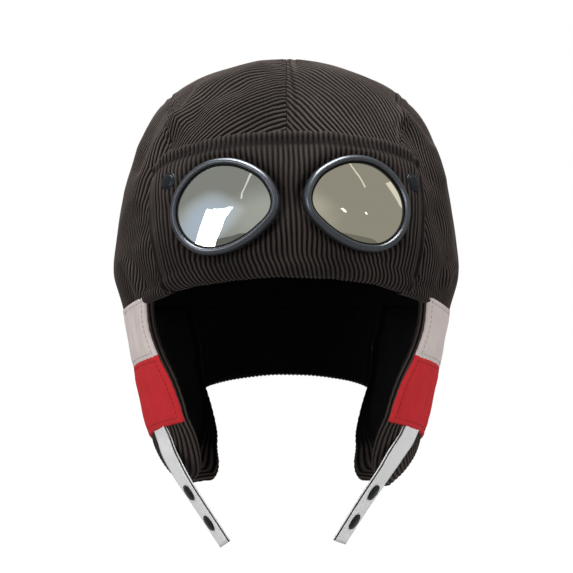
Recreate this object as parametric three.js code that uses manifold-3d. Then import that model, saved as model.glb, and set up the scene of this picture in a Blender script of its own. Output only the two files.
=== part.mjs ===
// Aviator hat with a goggle panel, two ear flaps, a nape flap and two loose chin straps.
// Millimetres, +Z up. The front of the hat faces -Y, and left and right are the sides seen from the front.
// The origin is the middle of the head opening, level with the lower edge of the brow.
import * as THREE from "three";
import { mergeVertices } from "three/addons/utils/BufferGeometryUtils.js";
import Module from "manifold-3d";

const wasm = await Module();
wasm.setup();

// Driving sizes of the whole hat
const SEAM_GAP = 0.3;
const CROWN_WALL = 2.6;
const LINING_WALL = 1.2;
const PANEL_LIFT = 0.4;
const PANEL_WALL = 3.8;
const FLAP_SHELL = 3.4;
const FLAP_PADDING = 4.2;
const PATCH_LIFT = 0.6;
const PATCH_WALL = 1.0;
const SQUARENESS = 2.2;
const HEM_BEND = 2.6;
const DOME_COLUMNS = 32;

// The crown from its top (first row) to its sewn lower edge (last row).
// front and back are the reaches from the middle, side is the half width, and each has its height.
const CROWN_ROWS = [
  { front: 0, frontZ: 118.6, side: 0, sideZ: 118.6, back: 0, backZ: 118.6 },
  { front: 18.2, frontZ: 117.2, side: 19.4, sideZ: 116.2, back: 20, backZ: 117.6 },
  { front: 36.2, frontZ: 113.2, side: 38.4, sideZ: 110.6, back: 39.8, backZ: 113.4 },
  { front: 53.6, frontZ: 107.4, side: 56.8, sideZ: 102.6, back: 58.6, backZ: 106.4 },
  { front: 69.3, frontZ: 99.4, side: 71.3, sideZ: 90.4, back: 75.4, backZ: 96 },
  { front: 82.5, frontZ: 89.5, side: 81.1, sideZ: 74, back: 89.4, backZ: 83.2 },
  { front: 93, frontZ: 74.6, side: 87.6, sideZ: 55.2, back: 100, backZ: 66.4 },
  { front: 101, frontZ: 58, side: 91.7, sideZ: 36, back: 107.2, backZ: 47.6 },
  { front: 106.8, frontZ: 40.5, side: 94.8, sideZ: 16.4, back: 111, backZ: 27.9 },
  { front: 110.6, frontZ: 22.2, side: 95.8, sideZ: -3, back: 111.3, backZ: 5 },
  { front: 112, frontZ: 0, side: 90, sideZ: -22, back: 107, backZ: -20 },
];

// The side seams run from front to back, this far from the middle
const SIDE_SEAM = { middle: 64, ends: 57, reach: 118 };

// The padded goggle panel, as seen from the front
const PANEL = {
  shift: 1,
  lean: 1.4,
  topMiddle: 72.3,
  shoulder: { x: 43, z: 68.4 },
  corner: { x: 69, z: 56.5, round: 6 },
  side: { x: 73, z: 21 },
  foot: { x: 65, z: -4 },
};
// The wall that the panel is cut from: how far it wraps round the crown, and where it starts below its top
const PANEL_WRAP = { degrees: 64, topShare: 0.45, columns: 26, rows: 8 };
// Longer than anything that is cut through
const CUT_REACH = 140;

// A goggle window: its reach from its own middle, for every 30 degrees from its outer end upwards
const WINDOW_REACH = [29.6, 28.1, 27.0, 25.9, 25.9, 28.0, 29.4, 25.1, 23.5, 25.0, 28.2, 29.7];
const WINDOW = { spread: 32.6, height: 32.5, shift: 2.2, lean: 1.4, sink: 2.0 };
const WINDOW_SIDES = 28;
const PANEL_HOLE_INSET = 1.9;

// Ring sections: inset from the window's outline, and height over the window's back plane
const FRAME_SECTION = [
  { inset: 0, height: 0 },
  { inset: 0, height: 2.4 },
  { inset: 0.9, height: 4.3 },
  { inset: 2.1, height: 4.9 },
  { inset: 3.1, height: 4.7 },
  { inset: 3.4, height: 4.2 },
  { inset: 3.4, height: 0 },
];
const GASKET_SECTION = [
  { inset: 2.2, height: -2.4 },
  { inset: 2.2, height: -0.3 },
  { inset: 3.7, height: -0.3 },
  { inset: 3.7, height: 2.8 },
  { inset: 4.6, height: 2.8 },
  { inset: 4.6, height: -2.4 },
];
const LENS = { inset: 4.9, edgeHeight: 2.6, crownHeight: 6.4, wall: 1.8, rings: 3 };

// Snap caps. rim is the height of their straight edge, and bevel is the width of the slope above it
const PANEL_SNAP = { shift: 2.3, x: 61.4, z: 45.4, radius: 4.8, height: 1.9, rim: 0.9, bevel: 1.6, sink: 0.9 };
const STRAP_SNAP = { gap: 0.45, radius: 4.7, height: 1.2, rim: 0.5, bevel: 1.1 };
const SNAP_SOCKET = { postRadius: 1.8, radius: 4.2, height: 1.1 };
const SNAP_SIDES = 12;

// The skirt below the crown, from the crown seam down: half width and reaches at each height
const SKIRT_ROWS = [
  { height: -22, side: 90, front: 112, back: 107 },
  { height: -34, side: 87.4, front: 107, back: 106 },
  { height: -46, side: 85.4, front: 101, back: 104 },
  { height: -58, side: 83.2, front: 94, back: 101.5 },
  { height: -70, side: 80.4, front: 89, back: 97 },
  { height: -79, side: 78.6, front: 85, back: 89 },
  { height: -88, side: 76.3, front: 78.5, back: 80 },
  { height: -97, side: 73.9, front: 71, back: 70 },
  { height: -105, side: 70.4, front: 62, back: 60 },
  { height: -112, side: 65.4, front: 52, back: 50 },
  { height: -117.5, side: 59.8, front: 43, back: 42 },
  { height: -120, side: 55.8, front: 37, back: 36 },
];

// The outline of an ear flap, seen from the side: where its front and back edges lie at each height
const FLAP_ROWS = [
  { height: -22, frontY: -69, backY: 86 },
  { height: -34, frontY: -68.6, backY: 86 },
  { height: -46, frontY: -68, backY: 86 },
  { height: -58, frontY: -67.4, backY: 86 },
  { height: -70, frontY: -66.6, backY: 83.6 },
  { height: -79, frontY: -65, backY: 75.6 },
  { height: -88, frontY: -62.4, backY: 69.7 },
  { height: -97, frontY: -57.6, backY: 61 },
  { height: -105, frontY: -50, backY: 51.6 },
  { height: -112, frontY: -39.5, backY: 42 },
  { height: -117.5, frontY: -25, backY: 34 },
  { height: -120, frontY: -8, backY: 28 },
];
const FLAP_COLUMNS = 12;
// The skirt meets the crown's lower edge over this height, counted from the seam down
const HEM_FADE = 26;
// The padded lining thins to this part of its thickness, over this share of its width and height
const PADDING_EDGE = { thickness: 0.4, width: 0.3, height: 0.2 };

// The nape flap hangs between the ear flaps
const NAPE = { seamY: 86.4, middleZ: -62.6, cornerZ: -69, columns: 14, rows: 4, wall: 4.5 };

// Colour patches along the front of each ear flap. A line runs from the front edge back to backY
const PATCH = { backY: 13, frontInset: 0.6, columns: 7, rows: 3 };
const PATCH_LINES = {
  colourSeam: { frontZ: -45.5, backZ: -57.5 },
  lowerHem: { frontZ: -79.8, backZ: -95 },
};

// A chin strap from under the red patch to its free end: the middle of the band, and how far it turns
const STRAP_WIDTH = 19;
const STRAP_WALL = 1.7;
const STRAP_BANDS = 10;
// The sewn end lies in a pocket in the flap, which takes up this share of the strap
const STRAP_POCKET = { clearance: 0.3, share: 0.55 };
const STRAP_ROWS = {
  left: [
    { x: 71.4, y: -38, z: -73, turn: 24 },
    { x: 69.5, y: -38, z: -80, turn: 24 },
    { x: 66.9, y: -38.5, z: -86.5, turn: 25 },
    { x: 65.4, y: -39, z: -91.5, turn: 25 },
    { x: 63.2, y: -40, z: -99, turn: 24 },
    { x: 59.2, y: -41, z: -107.5, turn: 23 },
    { x: 53.3, y: -42, z: -117.3, turn: 21 },
    { x: 46.4, y: -43, z: -127.6, turn: 20 },
    { x: 33, y: -45, z: -147.8, turn: 20 },
  ],
  right: [
    { x: 71, y: -39, z: -73, turn: 25 },
    { x: 68.5, y: -40, z: -80, turn: 26 },
    { x: 65.6, y: -42, z: -86.5, turn: 27 },
    { x: 63.3, y: -44, z: -91.5, turn: 28 },
    { x: 58.6, y: -47, z: -99, turn: 27 },
    { x: 53.5, y: -49, z: -107.5, turn: 24 },
    { x: 47.3, y: -50, z: -116.6, turn: 23 },
    { x: 40.7, y: -50.3, z: -126.4, turn: 22 },
    { x: 28.3, y: -50.5, z: -146, turn: 21 },
  ],
};
const STRAP_SNAP_PLACES = [0.78, 0.93];

const RIGHT = { name: "right", sign: 1 };
const LEFT = { name: "left", sign: -1 };
const SIDES = [LEFT, RIGHT];

const radians = THREE.MathUtils.degToRad;
const mix = THREE.MathUtils.lerp;

// Materials, one for each finish on the hat
function finish(colour, roughness, metalness = 0) {
  return new THREE.MeshStandardMaterial({ color: colour, roughness, metalness });
}
const corduroy = () => finish(0x2f2a27, 0.95);
const liningCloth = () => finish(0x0b0b0b, 0.95);
const whiteNylon = () => finish(0xcbc0bc, 0.7);
const redNylon = () => finish(0xb02a33, 0.6);
const whiteWebbing = () => finish(0xd9d9d9, 0.7);
const gunmetal = () => finish(0x30353b, 0.35, 0.8);
const blackRubber = () => finish(0x050505, 0.8);
const mirrorLens = () => finish(0x8f928a, 0.08, 0.9);
const snapMetal = () => finish(0x24292e, 0.4, 0.7);

// A closed body from triangle corners. It is turned if its faces point inwards
function solidFromCorners(corners) {
  const loose = new THREE.BufferGeometry();
  loose.setAttribute("position", new THREE.Float32BufferAttribute(corners, 3));
  const merged = mergeVertices(loose);
  const index = merged.index.array;
  const kept = [];
  for (let i = 0; i < index.length; i += 3) {
    const [a, b, c] = [index[i], index[i + 1], index[i + 2]];
    if (a !== b && b !== c && c !== a) kept.push(a, b, c);
  }
  const build = (triangles) =>
    new wasm.Manifold(
      new wasm.Mesh({
        numProp: 3,
        vertProperties: merged.attributes.position.array,
        triVerts: new Uint32Array(triangles),
      }),
    );
  const made = build(kept);
  return made.volume() > 0 ? made : build(kept.reverse());
}

function solidFromGeometry(geometry) {
  const loose = geometry.index ? geometry.toNonIndexed() : geometry;
  return solidFromCorners([...loose.attributes.position.array]);
}

function geometryFromSolid(solid) {
  const { numProp, vertProperties, triVerts } = solid.getMesh();
  const corners = [];
  for (const vertex of triVerts) {
    const start = vertex * numProp;
    corners.push(vertProperties[start], vertProperties[start + 1], vertProperties[start + 2]);
  }
  const geometry = new THREE.BufferGeometry();
  geometry.setAttribute("position", new THREE.Float32BufferAttribute(corners, 3));
  geometry.computeVertexNormals();
  return geometry;
}

// Joins rings of points, one after another, into a closed body.
// With joined, the last ring meets the first. Otherwise both end rings are closed across
function solidFromRings(rings, joined = false) {
  const corners = [];
  const triangle = (...points) => points.forEach((point) => corners.push(...point.toArray()));
  // The shorter diagonal, so that two parallel walls fold along the same lines
  const quad = (a, b, c, d) => {
    const straight = a.distanceTo(c) < b.distanceTo(d);
    triangle(a, b, straight ? c : d);
    triangle(straight ? a : b, c, d);
  };
  const count = rings[0].length;
  const bands = joined ? rings.length : rings.length - 1;
  for (let i = 0; i < bands; i += 1) {
    const ring = rings[i];
    const next = rings[(i + 1) % rings.length];
    for (let k = 0; k < count; k += 1) {
      const after = (k + 1) % count;
      quad(ring[k], ring[after], next[after], next[k]);
    }
  }
  if (!joined) {
    const first = rings[0];
    const last = rings[rings.length - 1];
    for (let k = 0; k < count / 2 - 1; k += 1) {
      quad(first[k], first[count - 1 - k], first[count - 2 - k], first[k + 1]);
      quad(last[k], last[k + 1], last[count - 2 - k], last[count - 1 - k]);
    }
  }
  return solidFromCorners(corners);
}

// A wall with an outer and an inner face. place(across, down, depth) has shares from 0 to 1
function wallSolid(columns, rows, place) {
  const rings = [];
  for (let i = 0; i <= columns; i += 1) {
    const outer = [];
    const inner = [];
    for (let j = 0; j <= rows; j += 1) {
      outer.push(place(i / columns, j / rows, 0));
      inner.unshift(place(i / columns, j / rows, 1));
    }
    rings.push([...outer, ...inner]);
  }
  return solidFromRings(rings);
}

// Smooth value of a table's column at a share of the way through its rows
function smoothRow(rows, share, column, mirroredStart = 0) {
  const place = Math.min(Math.max(share, 0), 1) * (rows.length - 1);
  const i = Math.min(Math.floor(place), rows.length - 2);
  const f = place - i;
  const here = rows[i][column];
  const next = rows[i + 1][column];
  const start = mirroredStart ? mirroredStart * next : 2 * here - next;
  const before = i > 0 ? rows[i - 1][column] : start;
  const after = i + 2 < rows.length ? rows[i + 2][column] : 2 * next - here;
  const slopeHere = (next - before) / 2;
  const slopeNext = (after - here) / 2;
  const [f2, f3] = [f * f, f * f * f];
  const ends = here * (2 * f3 - 3 * f2 + 1) + next * (3 * f2 - 2 * f3);
  return ends + slopeHere * (f3 - 2 * f2 + f) + slopeNext * (f3 - f2);
}

// Share of the way through a table at which its height column has this value
function shareAtHeight(rows, height) {
  let [low, high] = [0, 1];
  for (let step = 0; step < 30; step += 1) {
    const middle = (low + high) / 2;
    if (smoothRow(rows, middle, "height") > height) low = middle;
    else high = middle;
  }
  return (low + high) / 2;
}

// Distance from the middle to the head-shaped outline, at an azimuth from the front
function outlineReach(azimuth, side, depth) {
  const across = Math.abs(Math.sin(azimuth)) / side;
  const along = Math.abs(Math.cos(azimuth)) / depth;
  return (across ** SQUARENESS + along ** SQUARENESS) ** (-1 / SQUARENESS);
}

// Moves a point of a surface off that surface, along its normal
function offSurface(surface, a, b, offset) {
  const step = 1e-3;
  const point = surface(a, b);
  const alongA = surface(a + step, b).sub(surface(a - step, b));
  const alongB = surface(a, b + step).sub(surface(a, b - step));
  const normal = alongA.cross(alongB).normalize();
  if (normal.dot(new THREE.Vector3(point.x, point.y, 0)) < 0) normal.negate();
  return { point: point.clone().addScaledVector(normal, offset), normal };
}

function crownFace(azimuth, share) {
  const value = (column, mirrored) => smoothRow(CROWN_ROWS, share, column, mirrored);
  const ahead = Math.cos(azimuth) > 0;
  const side = Math.max(value("side", -1), 1e-6);
  const depth = Math.max(value(ahead ? "front" : "back", -1), 1e-6);
  const reach = outlineReach(azimuth, side, depth);
  const x = reach * Math.sin(azimuth);
  const edge = Math.min(Math.abs(x) / side, 1) ** HEM_BEND;
  const endZ = value(ahead ? "frontZ" : "backZ", 1);
  return new THREE.Vector3(x, -reach * Math.cos(azimuth), mix(endZ, value("sideZ", 1), edge));
}

function crownPoint(azimuth, share, offset = 0) {
  if (share < 1e-6) return new THREE.Vector3(0, 0, CROWN_ROWS[0].sideZ + offset);
  return offSurface(crownFace, azimuth, Math.min(share, 0.999), offset).point
    .add(crownFace(azimuth, share).sub(crownFace(azimuth, Math.min(share, 0.999))));
}

// Azimuth and share of the crown's point with this x and z, on its front half
function crownSpot(x, z) {
  const shareFor = (azimuth) => {
    let [low, high] = [0, 1];
    for (let step = 0; step < 30; step += 1) {
      const middle = (low + high) / 2;
      if (crownFace(azimuth, middle).z > z) low = middle;
      else high = middle;
    }
    return (low + high) / 2;
  };
  let [near, far] = [0, Math.PI / 2];
  for (let step = 0; step < 30; step += 1) {
    const middle = (near + far) / 2;
    if (crownFace(middle, shareFor(middle)).x < Math.abs(x)) near = middle;
    else far = middle;
  }
  return { azimuth: Math.sign(x) * near, share: shareFor(near) };
}

// A full dome between two offsets from the crown's face
function domeSolid(outerOffset, innerOffset) {
  const ring = (share, offset) =>
    Array.from({ length: DOME_COLUMNS }, (_, k) =>
      crownPoint((2 * Math.PI * k) / DOME_COLUMNS, share, offset));
  const shares = CROWN_ROWS.map((_, j) => j / (CROWN_ROWS.length - 1));
  const outer = shares.map((share) => ring(share, outerOffset));
  const inner = shares.map((share) => ring(share, innerOffset)).reverse();
  return solidFromRings([...outer, ...inner]);
}

// Plan outline between two lines of x, given as functions of y, drawn up through the whole crown
function planPrism(nearX, farX, steps = 12) {
  const along = Array.from({ length: steps + 1 }, (_, i) => mix(-CUT_REACH, CUT_REACH, i / steps));
  const outline = [
    ...along.map((y) => new THREE.Vector2(nearX(y), y)),
    ...[...along].reverse().map((y) => new THREE.Vector2(farX(y), y)),
  ];
  const shape = new THREE.Shape(outline);
  const prism = new THREE.ExtrudeGeometry(shape, { depth: 2 * CUT_REACH, bevelEnabled: false });
  return solidFromGeometry(prism.translate(0, 0, -CUT_REACH));
}

const seamX = (y) => SIDE_SEAM.middle - (SIDE_SEAM.middle - SIDE_SEAM.ends) * (y / SIDE_SEAM.reach) ** 2;

// The four outer panels of the crown, cut from one dome along its seams
function crownPanels() {
  const dome = domeSolid(0, -CROWN_WALL);
  const half = SEAM_GAP / 2;
  const panels = [];
  for (const { name, sign } of SIDES) {
    const top = planPrism(() => sign * half, (y) => sign * (seamX(y) - half));
    const side = planPrism((y) => sign * (seamX(y) + half), () => sign * CUT_REACH);
    panels.push(piece(`crown_top_${name}`, dome.intersect(top), corduroy()));
    panels.push(piece(`crown_side_${name}`, dome.intersect(side), corduroy()));
  }
  return panels;
}

function crownLining() {
  const face = -CROWN_WALL - SEAM_GAP;
  return piece("crown_lining", domeSolid(face, face - LINING_WALL), liningCloth());
}

// The goggle panel's outline from the front, pushed back through the front half of the crown
function panelPrism() {
  const { shoulder, corner, side, foot, topMiddle } = PANEL;
  const at = (x, z) => new THREE.Vector2(x, z);
  const topX = corner.x - corner.round;
  const topZ = corner.z + corner.round / 2;
  const sideZ = corner.z - corner.round;
  const shape = new THREE.Shape();
  shape.moveTo(foot.x, -CUT_REACH);
  shape.lineTo(foot.x, foot.z);
  shape.quadraticCurveTo(side.x, side.z, corner.x, sideZ);
  shape.quadraticCurveTo(corner.x, corner.z, topX, topZ);
  shape.splineThru([at(shoulder.x, shoulder.z), at(0, topMiddle), at(-shoulder.x, shoulder.z), at(-topX, topZ)]);
  shape.quadraticCurveTo(-corner.x, corner.z, -corner.x, sideZ);
  shape.quadraticCurveTo(-side.x, side.z, -foot.x, foot.z);
  shape.lineTo(-foot.x, -CUT_REACH);
  const prism = new THREE.ExtrudeGeometry(shape, { depth: CUT_REACH, bevelEnabled: false, curveSegments: 5 });
  prism.rotateX(Math.PI / 2);
  prism.rotateY(-radians(PANEL.lean));
  return solidFromGeometry(prism.translate(PANEL.shift, 0, 0));
}

// Where a goggle window sits: on the panel's face, square to it
function windowPlace({ sign }) {
  const lean = radians(WINDOW.lean);
  const x = WINDOW.shift + sign * WINDOW.spread * Math.cos(lean);
  const spot = crownSpot(x, WINDOW.height + sign * WINDOW.spread * Math.sin(lean));
  const face = PANEL_LIFT + PANEL_WALL;
  const seat = offSurface(crownFace, spot.azimuth, spot.share, face - WINDOW.sink);
  const outward = new THREE.Vector3(-seat.normal.y, seat.normal.x, 0).normalize();
  const up = seat.normal.clone().cross(outward);
  return new THREE.Matrix4().makeBasis(outward, up, seat.normal).setPosition(seat.point);
}

function windowReach(angle) {
  const count = WINDOW_REACH.length;
  const place = (((angle / (2 * Math.PI)) % 1) + 1) % 1 * count;
  const i = Math.floor(place);
  const f = place - i;
  const reach = (k) => WINDOW_REACH[(i + k + count) % count];
  const [a, b, c, d] = [reach(-1), reach(0), reach(1), reach(2)];
  return b + 0.5 * f * (c - a + f * (2 * a - 5 * b + 4 * c - d + f * (3 * (b - c) + d - a)));
}

function windowRing(sign, inset, height) {
  return Array.from({ length: WINDOW_SIDES }, (_, k) => {
    const angle = (2 * Math.PI * k) / WINDOW_SIDES;
    const reach = Math.max(windowReach(angle) - inset, 0);
    return new THREE.Vector3(sign * reach * Math.cos(angle), reach * Math.sin(angle), height);
  });
}

function ringSolid(sign, section) {
  return solidFromRings(section.map(({ inset, height }) => windowRing(sign, inset, height)), true);
}

function windowColumn(sign, inset, low, high) {
  return solidFromRings([low, high].map((height) => windowRing(sign, inset, height)));
}

// A domed lens: its rings shrink towards the middle on both faces
function lensSolid(sign) {
  const ring = (share, drop) =>
    windowRing(sign, LENS.inset, 0).map((point) => {
      const dome = mix(LENS.crownHeight, LENS.edgeHeight, share * share);
      return new THREE.Vector3(point.x * share, point.y * share, dome - drop);
    });
  const shares = Array.from({ length: LENS.rings + 1 }, (_, i) => i / LENS.rings);
  const front = shares.map((share) => ring(share, 0));
  const back = shares.map((share) => ring(share, LENS.wall)).reverse();
  return solidFromRings([...front, ...back]);
}

// The padded panel, with a seat pressed in and a hole cut through for each window and snap
function gogglePanel(places, snapPlaces) {
  const { degrees, topShare, columns, rows } = PANEL_WRAP;
  const span = radians(degrees);
  const through = CUT_REACH / 7;
  let panel = wallSolid(columns, rows, (across, down, depth) =>
    crownPoint(mix(-span, span, across), mix(topShare, 1, down), PANEL_LIFT + PANEL_WALL * (1 - depth)));
  panel = panel.intersect(panelPrism());
  SIDES.forEach(({ sign }, i) => {
    const seat = windowColumn(sign, -SEAM_GAP, -SEAM_GAP, through);
    const hole = windowColumn(sign, PANEL_HOLE_INSET, -through, through);
    const matrix = places[i].toArray();
    panel = panel.subtract(seat.transform(matrix)).subtract(hole.transform(matrix));
    panel = panel.subtract(snapSeat().transform(snapPlaces[i].toArray()));
  });
  return piece("goggle_panel", panel, corduroy());
}

function latheSolid(profile) {
  const points = profile.map(([radius, height]) => new THREE.Vector2(radius, height));
  return solidFromGeometry(new THREE.LatheGeometry(points, SNAP_SIDES).rotateX(Math.PI / 2));
}

function roundColumn(radius, low, high) {
  return latheSolid([[0, low], [radius, low], [radius, high], [0, high]]);
}

// A cap's profile from its edge to its middle, standing on the height base
function capProfile({ radius, height, rim, bevel }, base) {
  return [[radius, base], [radius, base + rim], [radius - bevel, base + height], [0, base + height]];
}

function snapSeat() {
  return roundColumn(PANEL_SNAP.radius + SEAM_GAP, -SEAM_GAP, 2 * PANEL_SNAP.radius);
}

function panelSnapSolid() {
  return latheSolid([[0, 0], ...capProfile(PANEL_SNAP, 0)]);
}

function panelSnapPlace({ sign }) {
  const spot = crownSpot(PANEL_SNAP.shift + sign * PANEL_SNAP.x, PANEL_SNAP.z);
  const lift = PANEL_LIFT + PANEL_WALL - PANEL_SNAP.sink;
  const seat = offSurface(crownFace, spot.azimuth, spot.share, lift);
  const turn = new THREE.Quaternion().setFromUnitVectors(new THREE.Vector3(0, 0, 1), seat.normal);
  return new THREE.Matrix4().compose(seat.point, turn, new THREE.Vector3(1, 1, 1));
}

// The skirt's outer face at an azimuth and a height
function skirtFace(azimuth, height) {
  const share = shareAtHeight(SKIRT_ROWS, height);
  const value = (column) => smoothRow(SKIRT_ROWS, share, column);
  const ahead = Math.cos(azimuth) > 0;
  const reach = outlineReach(azimuth, value("side"), value(ahead ? "front" : "back"));
  return new THREE.Vector3(reach * Math.sin(azimuth), -reach * Math.cos(azimuth), height);
}

// Azimuth at which the skirt, at this height, has this y
function skirtAzimuth(y, height) {
  let [low, high] = [0, Math.PI];
  for (let step = 0; step < 30; step += 1) {
    const middle = (low + high) / 2;
    if (skirtFace(middle, height).y < y) low = middle;
    else high = middle;
  }
  return (low + high) / 2;
}

// Lifts the skirt's upper rows to meet the crown's lower edge, fading out further down
function hemLift(azimuth, height) {
  const topZ = SKIRT_ROWS[0].height;
  const fade = THREE.MathUtils.smoothstep(height, topZ - HEM_FADE, topZ);
  return (crownFace(azimuth, 1).z - topZ) * fade;
}

// A point of the skirt. Its normal is taken just inside the table's first and last rows
function skirtPoint(sign, azimuth, height, offset) {
  const margin = 0.01;
  const lowest = SKIRT_ROWS[SKIRT_ROWS.length - 1].height + margin;
  const level = Math.min(Math.max(height, lowest), SKIRT_ROWS[0].height - margin);
  const { point } = offSurface(skirtFace, azimuth, level, offset);
  const isTop = height >= SKIRT_ROWS[0].height;
  if (isTop) point.z = height;
  point.z += hemLift(azimuth, height) - (isTop ? SEAM_GAP : 0);
  return new THREE.Vector3(sign * point.x, point.y, point.z);
}

const flapEdge = (height, column) => {
  const share = shareAtHeight(FLAP_ROWS, height);
  return skirtAzimuth(smoothRow(FLAP_ROWS, share, column), height);
};

// One layer of an ear flap, between two depths below its outer face
function flapLayer(sign, outerDepth, innerDepth, columns = FLAP_COLUMNS) {
  return wallSolid(columns, FLAP_ROWS.length - 1, (across, down, depth) => {
    const row = Math.round(down * (FLAP_ROWS.length - 1));
    const height = FLAP_ROWS[row].height;
    const azimuth = mix(flapEdge(height, "frontY"), flapEdge(height, "backY"), across);
    const below = depth ? innerDepth(across, down) : outerDepth;
    return skirtPoint(sign, azimuth, height, -below);
  });
}

function flapShell(sign) {
  return flapLayer(sign, 0, () => FLAP_SHELL);
}

// The padded lining is thinner towards its edges
function flapPad(sign) {
  const { thickness, width, height } = PADDING_EDGE;
  const face = FLAP_SHELL + SEAM_GAP;
  const full = (share, edge) => Math.sin((Math.PI / 2) * Math.min(share / edge, 1));
  return flapLayer(sign, face, (across, down) => {
    const fullness = Math.min(full(across, width), full(1 - across, width), full(1 - down, height));
    return face + FLAP_PADDING * mix(thickness, 1, fullness);
  });
}

function napeFlap() {
  const { seamY, middleZ, cornerZ, columns, rows, wall } = NAPE;
  const topZ = SKIRT_ROWS[0].height;
  const solid = wallSolid(columns, rows, (across, down, depth) => {
    const swing = across * 2 - 1;
    const hemZ = mix(middleZ, cornerZ, swing * swing);
    const height = mix(topZ, hemZ, down);
    const fromBack = (Math.PI - skirtAzimuth(seamY, height)) * Math.abs(swing);
    return skirtPoint(Math.sign(swing) || 1, Math.PI - fromBack, height, -wall * depth);
  });
  return piece("nape_flap", solid, corduroy());
}

// A patch between two lines that slope back from the flap's front edge
function patchSolid(sign, upper, lower) {
  const lineZ = (line, across) => mix(line.frontZ, line.backZ, across);
  return wallSolid(PATCH.columns, PATCH.rows, (across, down, depth) => {
    const height = mix(lineZ(upper, across), lineZ(lower, across), down);
    const level = Math.min(height, SKIRT_ROWS[0].height);
    const front = flapEdge(level, "frontY") + radians(PATCH.frontInset);
    const azimuth = mix(front, skirtAzimuth(PATCH.backY, level), across);
    return skirtPoint(sign, azimuth, level, PATCH_LIFT + PATCH_WALL * (1 - depth));
  });
}

function patches({ name, sign }) {
  const { colourSeam, lowerHem } = PATCH_LINES;
  const crownSeam = { frontZ: SKIRT_ROWS[0].height, backZ: SKIRT_ROWS[0].height };
  const above = { frontZ: colourSeam.frontZ + SEAM_GAP, backZ: colourSeam.backZ + SEAM_GAP };
  return [
    piece(`patch_white_${name}`, patchSolid(sign, crownSeam, above), whiteNylon()),
    piece(`patch_red_${name}`, patchSolid(sign, colourSeam, lowerHem), redNylon()),
  ];
}

// The strap's middle line, with the direction along it, across it and out of its face
function strapStation({ name, sign }, share) {
  const at = (s) => {
    const read = (column) => smoothRow(STRAP_ROWS[name], s, column);
    return new THREE.Vector3(sign * read("x"), read("y"), read("z"));
  };
  const step = 0.01;
  const along = at(Math.min(share + step, 1)).sub(at(Math.max(share - step, 0))).normalize();
  const plain = new THREE.Vector3(-along.z, 0, along.x).multiplyScalar(sign).normalize();
  const turn = radians(smoothRow(STRAP_ROWS[name], share, "turn"));
  const rough = plain.multiplyScalar(Math.cos(turn)).add(new THREE.Vector3(0, -Math.sin(turn), 0));
  const across = along.clone().cross(rough).normalize();
  const face = across.clone().cross(along).normalize();
  return { centre: at(share), along, across, face };
}

function strapSolid(side, width, wall, lastShare = 1) {
  const rings = [];
  for (let j = 0; j <= STRAP_BANDS; j += 1) {
    const { centre, across, face } = strapStation(side, (lastShare * j) / STRAP_BANDS);
    const halfAcross = across.multiplyScalar(width / 2);
    const halfFace = face.multiplyScalar(wall / 2);
    const corner = (a, f) => centre.clone().addScaledVector(halfAcross, a).addScaledVector(halfFace, f);
    rings.push([corner(-1, 1), corner(1, 1), corner(1, -1), corner(-1, -1)]);
  }
  return solidFromRings(rings);
}

function strapSnapPlace(side, share) {
  const { centre, along, face } = strapStation(side, share);
  const across = along.clone().cross(face).normalize();
  return new THREE.Matrix4().makeBasis(face.clone().cross(across).normalize(), across, face).setPosition(centre);
}

// A cap and a plain socket, joined through the strap
function strapSnapSolid() {
  const { postRadius, radius, height } = SNAP_SOCKET;
  const face = STRAP_WALL / 2 + STRAP_SNAP.gap;
  return latheSolid([
    [0, -face - height],
    [radius, -face - height],
    [radius, -face],
    [postRadius, -face],
    [postRadius, face],
    ...capProfile(STRAP_SNAP, face),
  ]);
}

// The shell of an ear flap, with the pocket for its strap, and its padded lining
function earFlap(side) {
  const { name, sign } = side;
  const spare = 2 * STRAP_POCKET.clearance;
  const pocket = strapSolid(side, STRAP_WIDTH + spare, STRAP_WALL + spare, STRAP_POCKET.share);
  const shell = flapShell(sign).subtract(pocket);
  return [
    piece(`ear_flap_${name}`, shell, corduroy()),
    piece(`flap_lining_${name}`, flapPad(sign), liningCloth()),
  ];
}

function chinStrap(side) {
  const through = 2 * STRAP_WALL;
  let strap = strapSolid(side, STRAP_WIDTH, STRAP_WALL);
  const made = [];
  STRAP_SNAP_PLACES.forEach((share, i) => {
    const place = strapSnapPlace(side, share);
    const bore = roundColumn(SNAP_SOCKET.postRadius + SEAM_GAP, -through, through);
    strap = strap.subtract(bore.transform(place.toArray()));
    made.push(placed(piece(`strap_snap_${side.name}_${i + 1}`, strapSnapSolid(), snapMetal()), place));
  });
  made.unshift(piece(`chin_strap_${side.name}`, strap, whiteWebbing()));
  return made;
}

function piece(name, solid, material) {
  const mesh = new THREE.Mesh(geometryFromSolid(solid), material);
  mesh.name = name;
  return mesh;
}

function placed(mesh, matrix) {
  matrix.decompose(mesh.position, mesh.quaternion, mesh.scale);
  return mesh;
}

function goggleWindow({ name, sign }, place) {
  const group = new THREE.Group();
  place.decompose(group.position, group.quaternion, group.scale);
  group.add(
    piece(`goggle_frame_${name}`, ringSolid(sign, FRAME_SECTION), gunmetal()),
    piece(`goggle_gasket_${name}`, ringSolid(sign, GASKET_SECTION), blackRubber()),
    piece(`goggle_lens_${name}`, lensSolid(sign), mirrorLens()),
  );
  return group;
}

const hat = new THREE.Group();
const windowPlaces = SIDES.map(windowPlace);
const snapPlaces = SIDES.map(panelSnapPlace);
hat.add(...crownPanels(), crownLining(), gogglePanel(windowPlaces, snapPlaces), napeFlap());
SIDES.forEach((side, i) => {
  hat.add(goggleWindow(side, windowPlaces[i]));
  hat.add(placed(piece(`panel_snap_${side.name}`, panelSnapSolid(), snapMetal()), snapPlaces[i]));
  hat.add(...earFlap(side), ...patches(side), ...chinStrap(side));
});

export default hat;
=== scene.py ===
import math

import bmesh
import bpy
import numpy as np
from mathutils import Matrix, Vector


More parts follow.
